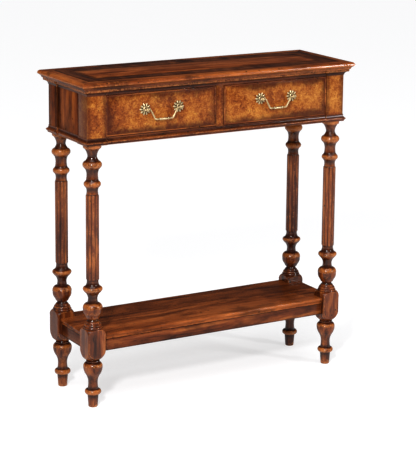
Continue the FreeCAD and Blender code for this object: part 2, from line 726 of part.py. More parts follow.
def rosettes(label, xs):
    """Two scalloped back plates, each with a hole for its post."""
    plates = []
    corners = []
    for step in range(2 * mainSizes["rosettePoints"]):
        radius = "rosetteRad" if step % 2 == 0 else "rosetteRad * rosetteValley"
        turn = f"{step} * 180 / rosettePoints"
        corners.append((f"{radius} * cos({turn})", f"{radius} * sin({turn})"))
    for number, x in enumerate(xs):
        plan = looseSketch(f"{label}_plan_{number}", corners,
                           FreeCAD.Placement(Vector(), FreeCAD.Rotation(Vector(1, 0, 0), 90)))
        place(plan, x, f"-{faceDeep}", "handleHigh")
        plate = doc.addObject("Part::Extrusion", f"{label}_plate_{number}")
        plate.Base = plan
        plate.DirMode = "Custom"
        plate.Dir = Vector(0, -1, 0)
        plate.Solid = True
        plate.setExpression("LengthFwd", bind("rosetteThick"))
        hole = cylinder(f"{label}_hole_{number}", "postRad", "rosetteThick + 2",
                        (x, f"-{faceDeep} - rosetteThick - 1", "handleHigh"), along="y")
        plates.append(cut(f"{label}_holed_{number}", plate, hole))
    pair = doc.addObject("Part::Compound", label + "_pair")
    pair.Links = plates
    return keep(pair, label)


def post(name, x):
    """A threaded post with an eye at its outer end for the bail."""
    shank = cylinder(name + "_shank", "postRad", "postOut + drawerFace + nutThick + 2",
                     (x, f"-{faceDeep} - postOut", "handleHigh"), along="y")
    ball = doc.addObject("Part::Sphere", name + "_ball")
    ball.setExpression("Radius", bind("postEyeRad"))
    place(ball, x, f"-{faceDeep} - postOut", "handleHigh")
    eye = cylinder(name + "_eye", "bailRad + bailFit", "4 * postEyeRad",
                   (f"{x} - 2 * postEyeRad", f"-{faceDeep} - postOut", "handleHigh"))
    eye.Placement.Rotation = FreeCAD.Rotation(Vector(0, 1, 0), 90)
    return cut(name, fuse(name + "_solid", shank, ball), eye)


def nut(name, x):
    blank = doc.addObject("Part::Prism", name + "_blank")
    blank.Polygon = 6
    blank.setExpression("Circumradius", bind("nutRad"))
    blank.setExpression("Height", bind("nutThick"))
    blank.Placement.Rotation = FreeCAD.Rotation(Vector(1, 0, 0), -90)
    place(blank, x, railInner, "handleHigh")
    bore = cylinder(name + "_bore", "postRad", "nutThick + 2",
                    (x, f"{railInner} - 1", "handleHigh"), along="y")
    return cut(name, blank, bore)


def cockbead(label, lowX):
    """The thin bead that frames a drawer front, with its outer edges rounded."""
    start = f"-{faceDeep} - cockProud"
    outer = box(label + "_outer", (lowX, start, drawerLow), (drawerWide, "cockDeep", drawerHigh))
    inner = box(label + "_inner", (f"{lowX} + cockWide", f"{start} - 1", f"{drawerLow} + cockWide"),
                (f"{drawerWide} - 2 * cockWide", "cockDeep + 2", f"{drawerHigh} - 2 * cockWide"))
    ring = cut(label + "_ring", outer, inner)
    doc.recompute()
    frontY = value(start)
    radius = value("cockProud")
    frontEdges = [number for number, edge in enumerate(ring.Shape.Edges, start=1)
                  if max(abs(edge.BoundBox.YMin - frontY), abs(edge.BoundBox.YMax - frontY)) < 1e-6]
    rounded = doc.addObject("Part::Fillet", label + "_rounded")
    rounded.Base = ring
    rounded.Edges = [(number, radius, radius) for number in frontEdges]
    return keep(rounded, label), outer


def drawer(side, sign):
    name = f"drawer_{side}"
    middle = f"({sign} * {drawerX})"
    lowX = f"({middle} - {drawerWide} / 2)"
    start = f"(-{faceDeep})"
    boxLow = f"({lowX} + sideInset)"
    boxWide = f"({drawerWide} - 2 * sideInset)"
    sideStart = f"({start} + drawerFace - lapDeep)"
    sideLong = f"(drawerDeep - drawerFace + lapDeep)"
    boardLow = f"({drawerLow} + floorRise)"

    bead, beadBlank = cockbead(f"{name}_cockbead", lowX)
    grooveIn = "(sideThick - grooveDeep)"
    panel = box(f"{name}_floor", (f"{boxLow} + {grooveIn}", f"{start} + drawerFace - grooveDeep", boardLow),
                (f"{boxWide} - 2 * {grooveIn}", "drawerDeep - drawerFace + grooveDeep", "floorThick"))
    walls = []
    for wallSide, wallX in (("left", boxLow), ("right", f"{boxLow} + {boxWide} - sideThick")):
        wall = box(f"{name}_{wallSide}_blank", (wallX, sideStart, drawerLow),
                   ("sideThick", sideLong, "sideHigh"))
        walls.append(keep(cut(f"{name}_{wallSide}_grooved", wall, panel), f"{name}_side_{wallSide}"))
    keep(panel, f"{name}_bottom")
    rearLow = (f"{boxLow} + sideThick", f"{start} + drawerDeep - sideThick", f"{boardLow} + floorThick")
    rearSize = (f"{boxWide} - 2 * sideThick", "sideThick", "sideHigh - floorRise - floorThick")
    keep(box(f"{name}_rear", rearLow, rearSize), f"{name}_back")

    handleXs = [f"({middle} {step} handleApart / 2)" for step in ("-", "+")]
    posts = [post(f"{name}_post_{number}", x) for number, x in enumerate(handleXs)]
    postSet = doc.addObject("Part::Compound", f"{name}_post_set")
    postSet.Links = posts
    keep(postSet, f"{name}_posts")
    nutSet = doc.addObject("Part::Compound", f"{name}_nut_set")
    nutSet.Links = [nut(f"{name}_nut_{number}", x) for number, x in enumerate(handleXs)]
    keep(nutSet, f"{name}_nuts")
    rosettes(f"{name}_rosettes", handleXs)
    bail(f"{name}_bail", middle, f"-{faceDeep} - postOut", "handleHigh")

    front = box(f"{name}_front_blank", (lowX, start, drawerLow), (drawerWide, "drawerFace", drawerHigh))
    bores = [cylinder(f"{name}_front_bore_{number}", "postRad", "drawerFace + 2",
                      (x, f"{start} - 1", "handleHigh"), along="y")
             for number, x in enumerate(handleXs)]
    laps = [box(f"{name}_lap_{number}", (x, sideStart, drawerLow), ("sideThick", "lapDeep", "sideHigh"))
            for number, x in enumerate((boxLow, f"({boxLow} + {boxWide} - sideThick)"))]
    island = box(f"{name}_island", (f"{lowX} + cockWide", f"{start} - 2", f"{drawerLow} + cockWide"),
                 (f"{drawerWide} - 2 * cockWide", "cockDeep + 4", f"{drawerHigh} - 2 * cockWide"))
    rebate = cut(f"{name}_rebate", beadBlank, island)
    keep(cut(f"{name}_front_worked", front, rebate, panel, *laps, *bores), f"{name}_front")


drawer("left", -1)
drawer("right", 1)

# ---- check and write ----------------------------------------------------------

doc.recompute()
faults = [item.Name for item in doc.Objects if "Invalid" in item.State or "Error" in item.State]
faults += [piece.Label for piece in subparts if piece.Shape.isNull() or not piece.Shape.isValid()]
if faults:
    raise RuntimeError("unfinished: " + ", ".join(faults))

os.makedirs("parts", exist_ok=True)
for piece in subparts:
    piece.Shape.exportStep(f"parts/{piece.Label}.step")
print(len(subparts), "sub-parts")
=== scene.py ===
import json
import math

import bmesh
import bpy
from mathutils import Matrix, Vector, noise


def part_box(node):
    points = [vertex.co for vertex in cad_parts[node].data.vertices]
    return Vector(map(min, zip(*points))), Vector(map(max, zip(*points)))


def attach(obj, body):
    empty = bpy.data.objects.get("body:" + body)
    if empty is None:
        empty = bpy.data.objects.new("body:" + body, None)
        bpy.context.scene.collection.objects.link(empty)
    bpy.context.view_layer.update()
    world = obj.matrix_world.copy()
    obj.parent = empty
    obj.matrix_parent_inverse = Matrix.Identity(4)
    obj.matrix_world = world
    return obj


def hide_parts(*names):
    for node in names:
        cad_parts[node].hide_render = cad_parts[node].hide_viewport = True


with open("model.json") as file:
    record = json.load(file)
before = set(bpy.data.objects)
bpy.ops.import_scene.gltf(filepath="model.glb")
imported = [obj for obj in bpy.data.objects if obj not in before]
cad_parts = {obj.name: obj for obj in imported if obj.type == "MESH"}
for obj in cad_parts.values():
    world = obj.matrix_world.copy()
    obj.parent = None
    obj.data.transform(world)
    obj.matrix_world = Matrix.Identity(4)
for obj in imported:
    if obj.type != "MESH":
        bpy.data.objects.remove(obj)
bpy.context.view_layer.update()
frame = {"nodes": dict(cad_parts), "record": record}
nodes = frame["nodes"]
mm = 0.001
weld = 0.002 * mm  # points closer than this are one point

bodyOf = {node: body for body, members in frame["record"]["behaviour"]["bodies"].items() for node in members}
slotOf = {part["node"]: part["material_slot"] for part in frame["record"]["subparts"]}
print("frame loaded:", len(nodes), "nodes")


# a socket that can be added, multiplied and so on; each step is a Math node
class Wire:
    def __init__(self, tree, socket):
        self.tree = tree
        self.socket = socket

    def out(self, name):
        return Wire(self.tree, self.socket.node.outputs[name])

    def maths(self, operation, *others):
        given = dict(enumerate((self,) + others))
        return self.tree.add("ShaderNodeMath", {"operation": operation}, given)

    def flipped(self, operation, other):
        return self.tree.add("ShaderNodeMath", {"operation": operation}, {0: other, 1: self})

    def __add__(self, other):
        return self.maths("ADD", other)

    def __sub__(self, other):
        return self.maths("SUBTRACT", other)

    def __mul__(self, other):
        return self.maths("MULTIPLY", other)

    def __truediv__(self, other):
        return self.maths("DIVIDE", other)

    def __rsub__(self, other):
        return self.flipped("SUBTRACT", other)

    def __rtruediv__(self, other):
        return self.flipped("DIVIDE", other)

    __radd__ = __add__
    __rmul__ = __mul__

    def lesser(self, other):
        return self.maths("MINIMUM", other)

    def greater(self, other):
        return self.maths("MAXIMUM", other)

    # 0 at low, 1 at high, eased between; low may be the larger
    def step(self, low, high):
        return self.tree.add("ShaderNodeMapRange", {"interpolation_type": "SMOOTHSTEP"},
                             {"Value": self, "From Min": low, "From Max": high})


# a node tree of either kind, with one way to add any node
class Tree:
    def __init__(self, nodeTree):
        self.nodeTree = nodeTree

    def add(self, kind, settings=None, sockets=None):
        made = self.nodeTree.nodes.new(kind)
        for name, setting in (settings or {}).items():
            if name == "stops":
                self.setStops(made.color_ramp, setting)
            else:
                setattr(made, name, setting)
        for name, given in (sockets or {}).items():
            if isinstance(given, Wire):
                self.nodeTree.links.new(given.socket, made.inputs[name])
            else:
                made.inputs[name].default_value = given
        shown = [socket for socket in made.outputs if socket.enabled]
        return Wire(self, shown[0]) if shown else made

    def setStops(self, ramp, stops):
        while len(ramp.elements) < len(stops):
            ramp.elements.new(1)
        for element, (place, colour) in zip(ramp.elements, stops):
            element.position = place
            element.color = (*colour, 1)


# everyday 0 to 255 colour as the renderer counts it
def tint(red, green, blue):
    def linear(part):
        part /= 255
        return part / 12.92 if part <= 0.04045 else ((part + 0.055) / 1.055) ** 2.4
    return linear(red), linear(green), linear(blue)


# a material in the making: its tree, its coordinates and the usual patterns
class Finish(Tree):
    def __init__(self, name):
        self.material = bpy.data.materials.new(name)
        self.material.use_nodes = True
        super().__init__(self.material.node_tree)
        self.nodeTree.nodes.clear()
        self.place = self.add("ShaderNodeTexCoord").out("Object")

    # the piece's coordinates, drawn out along its grain and moved to its own patch of timber
    def along(self, grain, stretch, patch=0.0):
        scale = [stretch if axis == grain else 1 for axis in "xyz"]
        shift = (patch * 1.7, patch * 2.9, patch * 4.3)
        sockets = {"Vector": self.place, "Scale": scale, "Location": shift}
        return self.add("ShaderNodeMapping", {}, sockets)

    def noise(self, where, scale, detail=4.0, rough=0.55, warp=0.0):
        sockets = {"Vector": where, "Scale": scale, "Detail": detail, "Roughness": rough, "Distortion": warp}
        return self.add("ShaderNodeTexNoise", {}, sockets)

    def cells(self, where, scale):
        return self.add("ShaderNodeTexVoronoi", {"feature": "F1"}, {"Vector": where, "Scale": scale})

    def blend(self, factor, first, second):
        def colour(given):
            return given if isinstance(given, Wire) else (*given, 1)
        return self.add("ShaderNodeMix", {"data_type": "RGBA"},
                        {0: factor, 6: colour(first), 7: colour(second)}).out(2)

    def ramp(self, value, stops):
        return self.add("ShaderNodeValToRGB", {"stops": stops}, {"Fac": value})

    def moved(self, where, offset, amount):
        spread = self.add("ShaderNodeVectorMath", {"operation": "SCALE"}, {0: offset, "Scale": amount})
        return self.add("ShaderNodeVectorMath", {"operation": "ADD"}, {0: where, 1: spread})

    def value(self, name):
        return self.add("ShaderNodeAttribute", {"attribute_name": name}).out("Fac")

    # round spots of mixed size in some of the cells; rare is the share of cells left plain
    def spots(self, where, scale, size, spread, soft, rare, blur):
        cells = self.cells(where, scale)
        chosen = self.add("ShaderNodeSeparateColor", {}, {0: cells.out("Color")})
        inside = (chosen.out("Green") * spread + size - cells.out("Distance")).step(0, soft)
        return inside * chosen.out("Red").step(rare, rare + blur)

    # polish seen face on, fading to none where the surface turns away
    def sheen(self, polish):
        away = self.add("ShaderNodeLayerWeight", {}, {"Blend": 0.5}).out("Facing")
        return (1 - away).step(0.05, 0.75) * polish

    def bump(self, height, depth):
        return self.add("ShaderNodeBump", {}, {"Height": height, "Distance": depth, "Strength": 1.0})

    def shaded(self, colour, roughness, normal=None, **fixed):
        sockets = {"Base Color": colour, "Roughness": roughness}
        if normal:
            sockets["Normal"] = normal
        sockets.update({name.replace("_", " "): number for name, number in fixed.items()})
        surface = self.add("ShaderNodeBsdfPrincipled", {}, sockets)
        self.add("ShaderNodeOutputMaterial", {}, {"Surface": surface})
        return self.material


walnut = {
    "dark": (44, 18, 8),
    "mid": (112, 56, 26),
    "light": (164, 98, 47),
    "pore": (38, 16, 9),
    # the colour of rubbed crests: rub wear and a painted highlight
    "rubbedHighlight": (196, 132, 76),
    # the colour of grime and painted shade in hollows and margins
    "grimeAndShade": (24, 10, 6),
    "speck": (14, 7, 5),
    # the scales are counts per metre, and stretch draws the pattern out along the grain
    "streakScale": 52,
    "stretch": 0.07,
    "bend": 0.05,
    "poreScale": 1500,
    "pores": 0.5,
    "cloudScale": 19,
    "speckScale": 105,
    "specks": 0.7,
    "speckSize": 0.05,
    "speckSpread": 0.2,
    "brokenScale": 260,
    "patchScale": 42,
    "depth": 0.0005,
    "gloss": 0.3,
    "shine": 0.07,
    # how dark the hollows get, grime and painted shade together
    "dirt": 0.85,
    "clouds": 0.7,
    "polish": 0.42,
    "coatRough": 0.13,
}


# distance in metres from the nearest of four edges, two axes at a time
def edgeDistance(finish, low, high, axes):
    parts = finish.add("ShaderNodeSeparateXYZ", {}, {0: finish.place})
    near = None
    for axis in axes:
        at = parts.out("XYZ"[axis])
        distance = (at - low[axis]).lesser(high[axis] - at)
        near = near.lesser(distance) if near else distance
    return near


# polished walnut; crest comes from the piece's own shape and paints grime with shade in hollows and rub wear
# with a highlight on crests, the shaded margin (aged finish and painted shade) from its box
def timber(name, look, grain="x", patch=0.0, figure=0.0, shape=False, margin=None, axes=(0, 2), box=None,
           marginDark=0.75):
    finish = Finish(name)
    look = {**walnut, **look}
    grained = finish.along(grain, look["stretch"], patch)
    swirl = finish.noise(finish.along(grain, 0.35, patch), 7, 3).out("Color")
    bent = finish.moved(grained, swirl, look["bend"] + figure)
    streak = finish.noise(bent, look["streakScale"], 7, 0.62)
    broad = finish.noise(bent, look["streakScale"] * 0.22, 3)
    tone = streak * 0.6 + broad * 0.4
    colour = finish.ramp(tone, [(0.38, tint(*look["dark"])), (0.5, tint(*look["mid"])),
                                (0.62, tint(*look["light"]))])
    # open pores, drawn out along the grain
    pores = finish.noise(finish.along(grain, 0.03, patch), look["poreScale"], 2).step(0.56, 0.72)
    colour = finish.blend(pores * look["pores"], colour, tint(*look["pore"]))
    # clouds of older polish
    clouds = finish.noise(finish.along(grain, 0.5, patch), look["cloudScale"], 5, 0.6)
    colour = finish.blend(clouds.step(0.47, 0.66) * look["clouds"], colour, tint(*look["dark"]))
    # knocks and fly specks
    speck = finish.spots(finish.along(grain, 0.7, patch), look["speckScale"], look["speckSize"],
                         look["speckSpread"], 0.05, look["specks"], 0.08)
    colour = finish.blend(speck * 0.9, colour, tint(*look["speck"]))
    wear = speck
    height = streak * 0.25 - pores * 0.35 - speck * 0.9
    if margin:
        # the border is painted darker: aged finish and painted shade where it meets other parts
        ragged = finish.noise(finish.place, 60, 4)
        near = edgeDistance(finish, *box, axes) + (ragged - 0.5) * margin * 1.1
        shade = near.step(margin, margin * 0.12)
        colour = finish.blend(shade * marginDark, colour, tint(*look["grimeAndShade"]))
    if shape:
        broken = finish.noise(finish.place, look["brokenScale"], 5, 0.72)
        patchy = finish.noise(finish.place, look["patchScale"], 3)
        crest = finish.value("crest")
        # hollows are painted darker: grime and painted shade in coves and grooves
        hollowShadeAndGrime = (crest + (broken - 0.5) * 1.4).step(0.05, -0.75)
        colour = finish.blend(hollowShadeAndGrime * look["dirt"], colour, tint(*look["grimeAndShade"]))
        # crests are painted lighter: rub wear and a painted highlight
        rubAndHighlight = (crest + (broken - 0.5) * 3.0 + (patchy - 0.5) * 2.4).step(0.55, 1.35)
        golden = finish.blend(patchy.step(0.35, 0.65), tint(*look["rubbedHighlight"]), tint(*look["light"]))
        colour = finish.blend(rubAndHighlight * 0.85, colour, golden)
        wear = speck - rubAndHighlight * 0.25
    roughness = look["gloss"] + pores * 0.12 + clouds * 0.1 + wear * 0.15
    return finish.shaded(colour, roughness, finish.bump(height, look["depth"]),
                         Specular_IOR_Level=look["shine"], Coat_Weight=finish.sheen(look["polish"]),
                         Coat_Roughness=look["coatRough"])


burl = {
    "deep": (74, 31, 12),
    "amber": (130, 68, 27),
    "gold": (164, 106, 46),
    "pale": (196, 146, 72),
    "eye": (54, 22, 9),
    # the colour the margins darken to: aged finish and painted shade
    "grimeAndShade": (58, 22, 13),
    "swirlScale": 21,
    "swirl": 0.02,
    "mottle": 105,
    "fine": 300,
    "cloudScale": 17,
    "eyeScale": 190,
    "eyeSize": 0.1,
    "eyeSpread": 0.28,
    "clusterScale": 34,
    "speckScale": 80,
    "raggedScale": 45,
    "driftScale": 9,
    "gloss": 0.3,
    "shine": 0.07,
    "polish": 0.16,
    "coatRough": 0.1,
    "depth": 0.0004,
}


# burr veneer: clouded amber with small dark eyes, darkened towards its margins as aged finish and painted
# shade
def burlVeneer(name, box, axes, margin, patch=0.0, marginDark=0.62, tone=0.0, shape=False):
    finish = Finish(name)
    low, high = box
    patched = finish.along("x", 1, patch)
    swirl = finish.noise(patched, burl["swirlScale"], 4, 0.6).out("Color")
    bent = finish.moved(patched, swirl, burl["swirl"])
    mottle = finish.noise(bent, burl["mottle"], 9, 0.68, 0.6)
    fine = finish.noise(bent, burl["fine"], 4, 0.7)
    cloud = finish.noise(patched, burl["cloudScale"], 3)
    shade = (mottle - 0.5) * 0.5 + (fine - 0.5) * 0.42 + (cloud - 0.5) * 0.42 + 0.5 + tone
    colour = finish.ramp(shade, [(0.33, tint(*burl["deep"])), (0.46, tint(*burl["amber"])),
                                 (0.57, tint(*burl["gold"])), (0.7, tint(*burl["pale"]))])
    # knots come in clusters
    cluster = finish.noise(patched, burl["clusterScale"], 3).step(0.44, 0.62)
    eye = finish.spots(bent, burl["eyeScale"], burl["eyeSize"], burl["eyeSpread"], 0.12, 0.35, 0.25) * cluster
    colour = finish.blend(eye * 0.7, colour, tint(*burl["eye"]))
    speck = finish.spots(patched, burl["speckScale"], 0.03, 0.1, 0.03, 0.75, 0.05)
    colour = finish.blend(speck * 0.85, colour, tint(*walnut["speck"]))
    ragged = finish.noise(patched, burl["raggedScale"], 5, 0.6)
    drift = finish.noise(patched, burl["driftScale"], 2)
    # the margin is painted darker: aged finish and painted shade where it meets other parts
    near = edgeDistance(finish, low, high, axes)
    near = near + (ragged - 0.5) * margin * 1.3 + (drift - 0.5) * margin * 2.2
    colour = finish.blend(near.step(margin, margin * 0.08) * marginDark, colour, tint(*burl["grimeAndShade"]))
    if shape:
        # arrises are painted lighter: rub wear and a painted highlight
        rubAndHighlight = (finish.value("crest") + (ragged - 0.5) * 1.6).step(0.5, 1.1)
        colour = finish.blend(rubAndHighlight * 0.8, colour, tint(*walnut["rubbedHighlight"]))
    roughness = burl["gloss"] + fine * 0.1 + eye * 0.1
    height = mottle * 0.3 - eye * 0.3 - speck * 0.8
    return finish.shaded(colour, roughness, finish.bump(height, burl["depth"]),
                         Specular_IOR_Level=burl["shine"], Coat_Weight=finish.sheen(burl["polish"]),
                         Coat_Roughness=burl["coatRough"])


plainWood = {"dark": (118, 78, 44), "mid": (160, 116, 70), "light": (188, 146, 96), "pore": (96, 62, 36)}


# bare sawn boards inside the drawers and under the top
def bareWood(name, grain, patch=0.0):
    finish = Finish(name)
    bent = finish.moved(finish.along(grain, 0.05, patch), finish.noise(finish.place, 6, 3).out("Color"), 0.04)
    streak = finish.noise(bent, 70, 7, 0.6)
    colour = finish.ramp(streak, [(0.3, tint(*plainWood["dark"])), (0.5, tint(*plainWood["mid"])),
                                  (0.7, tint(*plainWood["light"]))])
    pores = finish.noise(finish.along(grain, 0.03, patch), 1300, 2).step(0.58, 0.72)
    colour = finish.blend(pores * 0.5, colour, tint(*plainWood["pore"]))
    stain = finish.noise(finish.place, 11, 4).step(0.5, 0.75)
    colour = finish.blend(stain * 0.35, colour, tint(*plainWood["pore"]))
    roughness = 0.62 + pores * 0.15
    return finish.shaded(colour, roughness, finish.bump(streak * 0.5 - pores * 0.6, 0.0005))


brass = {"bright": (224, 208, 172), "body": (176, 156, 118), "tarnish": (84, 70, 50), "gloss": 0.36}


# old brass: rubbed bright on its high places, tarnished in the low ones
def agedBrass(name):
    finish = Finish(name)
    cloud = finish.noise(finish.place, 320, 5, 0.65)
    fine = finish.noise(finish.place, 1500, 3)
    crest = finish.value("crest") + (cloud - 0.5) * 0.9
    colour = finish.blend(crest.step(-0.35, 0.15), tint(*brass["tarnish"]), tint(*brass["body"]))
    bright = crest.step(0.2, 0.8)
    colour = finish.blend(bright * 0.85, colour, tint(*brass["bright"]))
    roughness = brass["gloss"] + (1 - bright) * 0.2 + fine * 0.12
    return finish.shaded(colour, roughness, finish.bump(cloud * 0.6 + fine * 0.2, 0.0003), Metallic=1.0)


def darkSteel(name):
    finish = Finish(name)
    cloud = finish.noise(finish.place, 500, 4)
    colour = finish.ramp(cloud, [(0.35, tint(58, 52, 48)), (0.65, tint(128, 122, 116))])
    return finish.shaded(colour, 0.35 + cloud * 0.3, finish.bump(cloud, 0.0002), Metallic=1.0)


def meshPiece(name, build):
    mesh = bpy.data.meshes.new(name)
    build.to_mesh(mesh)
    build.free()
    piece = bpy.data.objects.new(name, mesh)
    bpy.context.scene.collection.objects.link(piece)
    return piece


# smooth shading that breaks at edges sharper than the angle
def smoothed(piece, angle=32):
    build = bmesh.new()
    build.from_mesh(piece.data)
    for face in build.faces:
        face.smooth = True
    for edge in build.edges:
        edge.smooth = edge.is_manifold and edge.calc_face_angle(0) < math.radians(angle)
    build.to_mesh(piece.data)
    build.free()
    return piece


# the piece stands for its node, moves with that node's body and takes its finish
def settle(piece, node, material):
    piece.data.materials.clear()
    piece.data.materials.append(material)
    for face in piece.data.polygons:
        face.material_index = 0
    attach(piece, bodyOf[node])
    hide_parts(node)
    return piece


# a node's board with its arrises eased, and how far each point is rubbed, which the finish paints as rub wear
# and a highlight
def eased(node, ease):
    build = bmesh.new()
    build.from_mesh(nodes[node].data)
    bmesh.ops.remove_doubles(build, verts=build.verts, dist=weld)
    bmesh.ops.dissolve_limit(build, angle_limit=math.radians(0.5), verts=build.verts, edges=build.edges)
    sharp = [edge for edge in build.edges
             if edge.is_manifold and edge.calc_face_angle_signed(0) > math.radians(40)]
    broad = ease >= 2 * mm
    segments, least = (5, math.radians(12)) if broad else (2, math.radians(33))
    bmesh.ops.bevel(build, geom=sharp, offset=ease, offset_type="OFFSET", segments=segments, profile=0.5,
                    affect="EDGES", clamp_overlap=True)
    crest = build.verts.layers.float.new("crest")
    for point in build.verts:
        turns = [edge.calc_face_angle_signed(0) for edge in point.link_edges if edge.is_manifold]
        point[crest] = 1.0 if turns and max(turns) > least else 0.0
    build.normal_update()
    return smoothed(meshPiece(node + "_piece", build), 60)


# points along a section of (across, up, swell) stations, with the swells as arcs
def drawnSection(stations, reach=1.6):
    points = [Vector(stations[0][:2])]
    for (x0, y0, _), (x1, y1, swell) in zip(stations, stations[1:]):
        start, end = Vector((x0, y0)), Vector((x1, y1))
        run = end - start
        if swell == 0 or run.length == 0:
            points.append(end)
            continue
        half = run.length / 2
        radius = (half * half + swell * swell) / (2 * abs(swell))
        right = Vector((run.y, -run.x)).normalized()
        middle = (start + end) / 2 - right * math.copysign(radius - abs(swell), swell)
        first = math.atan2(start.y - middle.y, start.x - middle.x)
        turn = 4 * math.atan2(abs(swell), half) * math.copysign(1, swell)
        count = max(3, math.ceil(radius * abs(turn) / reach))
        for step in range(1, count + 1):
            angle = first + turn * step / count
            points.append(middle + radius * Vector((math.cos(angle), math.sin(angle))))
    return points


# how far each point of a section stands out from its neighbourhood, -1 to 1
def crests(points, window, full):
    lengths = [0.0]
    for start, end in zip(points, points[1:]):
        lengths.append(lengths[-1] + (end - start).length)

    def at(distance):
        distance = min(max(distance, 0.0), lengths[-1])
        for index in range(1, len(points)):
            if lengths[index] >= distance:
                span = lengths[index] - lengths[index - 1]
                share = (distance - lengths[index - 1]) / span if span else 0
                return points[index - 1].lerp(points[index], share)
        return points[-1]

    found = []
    for point, length in zip(points, lengths):
        before, after = at(length - window), at(length + window)
        run = (after - before).normalized()
        middle = (before + after + at(length - window / 2) + at(length + window / 2)) / 4
        found.append(max(-1.0, min(1.0, (point - middle).dot(Vector((run.y, -run.x))) / full)))
    return found


legTurning = {
    # radius, height and swell of each station, in millimetres
    "stations": [
        (0, 0, 0), (9.2, 0, 0), (11.4, 2.6, 0.8), (13.6, 32.4, 0),
        (14.4, 32.4, 0), (14.2, 45.6, 6.0), (13.2, 46.2, 0), (11.6, 63.6, -0.5),
        (17.2, 82.6, -1.3), (23.8, 103.6, 1.7), (17.0, 113.8, 2.0), (15.6, 114.4, 0),
        (15.0, 119.4, 1.6), (14.6, 120.2, 0), (32.6, 144.0, 3.6), (32.6, 184.0, 0),
        (28.0, 198.2, 2.2), (23.0, 200.6, 0.2), (22.2, 206.0, 1.0), (20.8, 206.4, 0),
        (19.4, 212.4, 1.0), (17.4, 212.8, 0), (14.6, 218.4, 0.9), (11.9, 223.4, -0.5),
        (15.8, 226.4, 0), (20.0, 234.4, -0.2), (23.7, 248.0, 1.4), (14.2, 264.8, 4.2),
        (13.0, 265.6, 0), (11.5, 277.2, -0.4), (17.0, 289.8, -1.0), (22.4, 295.8, 0.3),
        (22.2, 304.2, 1.9), (15.0, 313.2, -1.4), (14.2, 317.6, 0), (14.3, 319.4, 0),
        (14.3, 537.0, 0), (13.8, 544.0, -0.3), (16.4, 552.4, -0.7), (18.2, 554.4, 0),
        (17.8, 566.0, 2.9), (14.6, 573.8, -0.9), (13.8, 582.0, -0.2), (16.4, 596.0, -0.8),
        (19.6, 600.0, 0), (19.0, 615.4, 4.2), (14.8, 619.8, -0.7), (11.4, 628.0, -0.7),
        (19.6, 647.8, -1.8), (21.4, 648.4, 0), (22.0, 653.0, 0.5), (22.0, 656.0, 0),
        (11.0, 656.0, 0), (11.0, 690.0, 0), (0, 690.0, 0)],
    # the legs' walnut, whose hollows darken with grime and painted shade
    "walnut": {"stretch": 0.1, "streakScale": 95, "dirt": 0.8, "clouds": 0.4, "grimeAndShade": (38, 15, 8),
               "polish": 0.7},
    # a darker walnut for the legs at the back: painted shade where they stand behind the rest
    "backWalnut": {"mid": (100, 49, 22), "light": (150, 88, 42), "polish": 0.6},
    "tenonFrom": 656,
    # how far along the outline a crest is looked for, and how proud it is when fully rubbed and painted
    # highlit
    "crestWindow": 8.0,
    "crestFull": 1.6,
    "columns": 160,
    "reeds": 10,
    "reedRadius": 5.2,
    "reedReach": 16.1,
    "reedLow": 320.4,
    "reedHigh": 536.0,
    "square": 48.0,
    "squareLow": 121.0,
    "squareHigh": 200.8,
    "arris": 2.0,
}


# a Geometry Nodes tree with its named inputs
def newGeometryTree(name, inputs):
    tree = Tree(bpy.data.node_groups.new(name, "GeometryNodeTree"))
    sockets = tree.nodeTree.interface
    for label, kind in [("Geometry", "NodeSocketGeometry")] + inputs:
        sockets.new_socket(label, in_out="INPUT", socket_type=kind)
    sockets.new_socket("Geometry", in_out="OUTPUT", socket_type="NodeSocketGeometry")
    return tree, tree.add("NodeGroupInput")


# the end of every tree: real geometry with its material
def closeTree(tree, given, geometry):
    real = tree.add("GeometryNodeRealizeInstances", {}, {"Geometry": geometry})
    finished = tree.add("GeometryNodeSetMaterial", {}, {"Geometry": real, "Material": given.out("Material")})
    tree.add("NodeGroupOutput", {}, {"Geometry": finished})
    return tree


# a sheet to wrap round the z axis: each column stands at one angle, each row reads one station of the section
def sectionSheet(tree, given):
    rows, columns = given.out("Rows"), given.out("Columns")
    sheet = tree.add("GeometryNodeMeshGrid", {}, {"Size X": 1.0, "Size Y": 1.0, "Vertices X": columns + 1,
                                                  "Vertices Y": rows})
    index = tree.add("GeometryNodeInputIndex")
    column = (index / rows).maths("FLOOR")
    row = index - column * rows
    station = tree.add("GeometryNodeSampleIndex", {"data_type": "FLOAT_VECTOR"},
                       {"Geometry": given.out("Geometry"), "Value": tree.add("GeometryNodeInputPosition"),
                        "Index": row})
    parts = tree.add("ShaderNodeSeparateXYZ", {}, {0: station})
    return sheet, column / columns, parts.out("X"), parts.out("Y"), parts.out("Z")


# set the sheet's points at their radius, angle and height, and close the seam
def wrapSheet(tree, given, sheet, crest, radius, angle, height):
    spot = tree.add("ShaderNodeCombineXYZ", {}, {"X": radius * angle.maths("COSINE"),
                                                 "Y": radius * angle.maths("SINE"), "Z": height})
    marked = tree.add("GeometryNodeStoreNamedAttribute", {"data_type": "FLOAT", "domain": "POINT"},
                      {"Geometry": sheet, "Name": "crest", "Value": crest})
    placed = tree.add("GeometryNodeSetPosition", {}, {"Geometry": marked, "Position": spot})
    closed = tree.add("GeometryNodeMergeByDistance", {}, {"Geometry": placed, "Distance": weld})
    return closeTree(tree, given, closed)


# run a tree on an object and keep the plain mesh that it gives
def grown(name, seedMesh, tree, values):
    holder = bpy.data.objects.new(name + "_seed", seedMesh)
    bpy.context.scene.collection.objects.link(holder)
    modifier = holder.modifiers.new("grow", "NODES")
    modifier.node_group = tree.nodeTree
    items = tree.nodeTree.interface.items_tree
    sockets = {item.name: item.identifier for item in items if item.in_out == "INPUT"}
    for label, number in values.items():
        modifier[sockets[label]] = number
    bpy.context.view_layer.update()
    shown = holder.evaluated_get(bpy.context.evaluated_depsgraph_get())
    mesh = bpy.data.meshes.new_from_object(shown)
    mesh.name = name
    bpy.data.objects.remove(holder)
    piece = bpy.data.objects.new(name, mesh)
    bpy.context.scene.collection.objects.link(piece)
    return piece


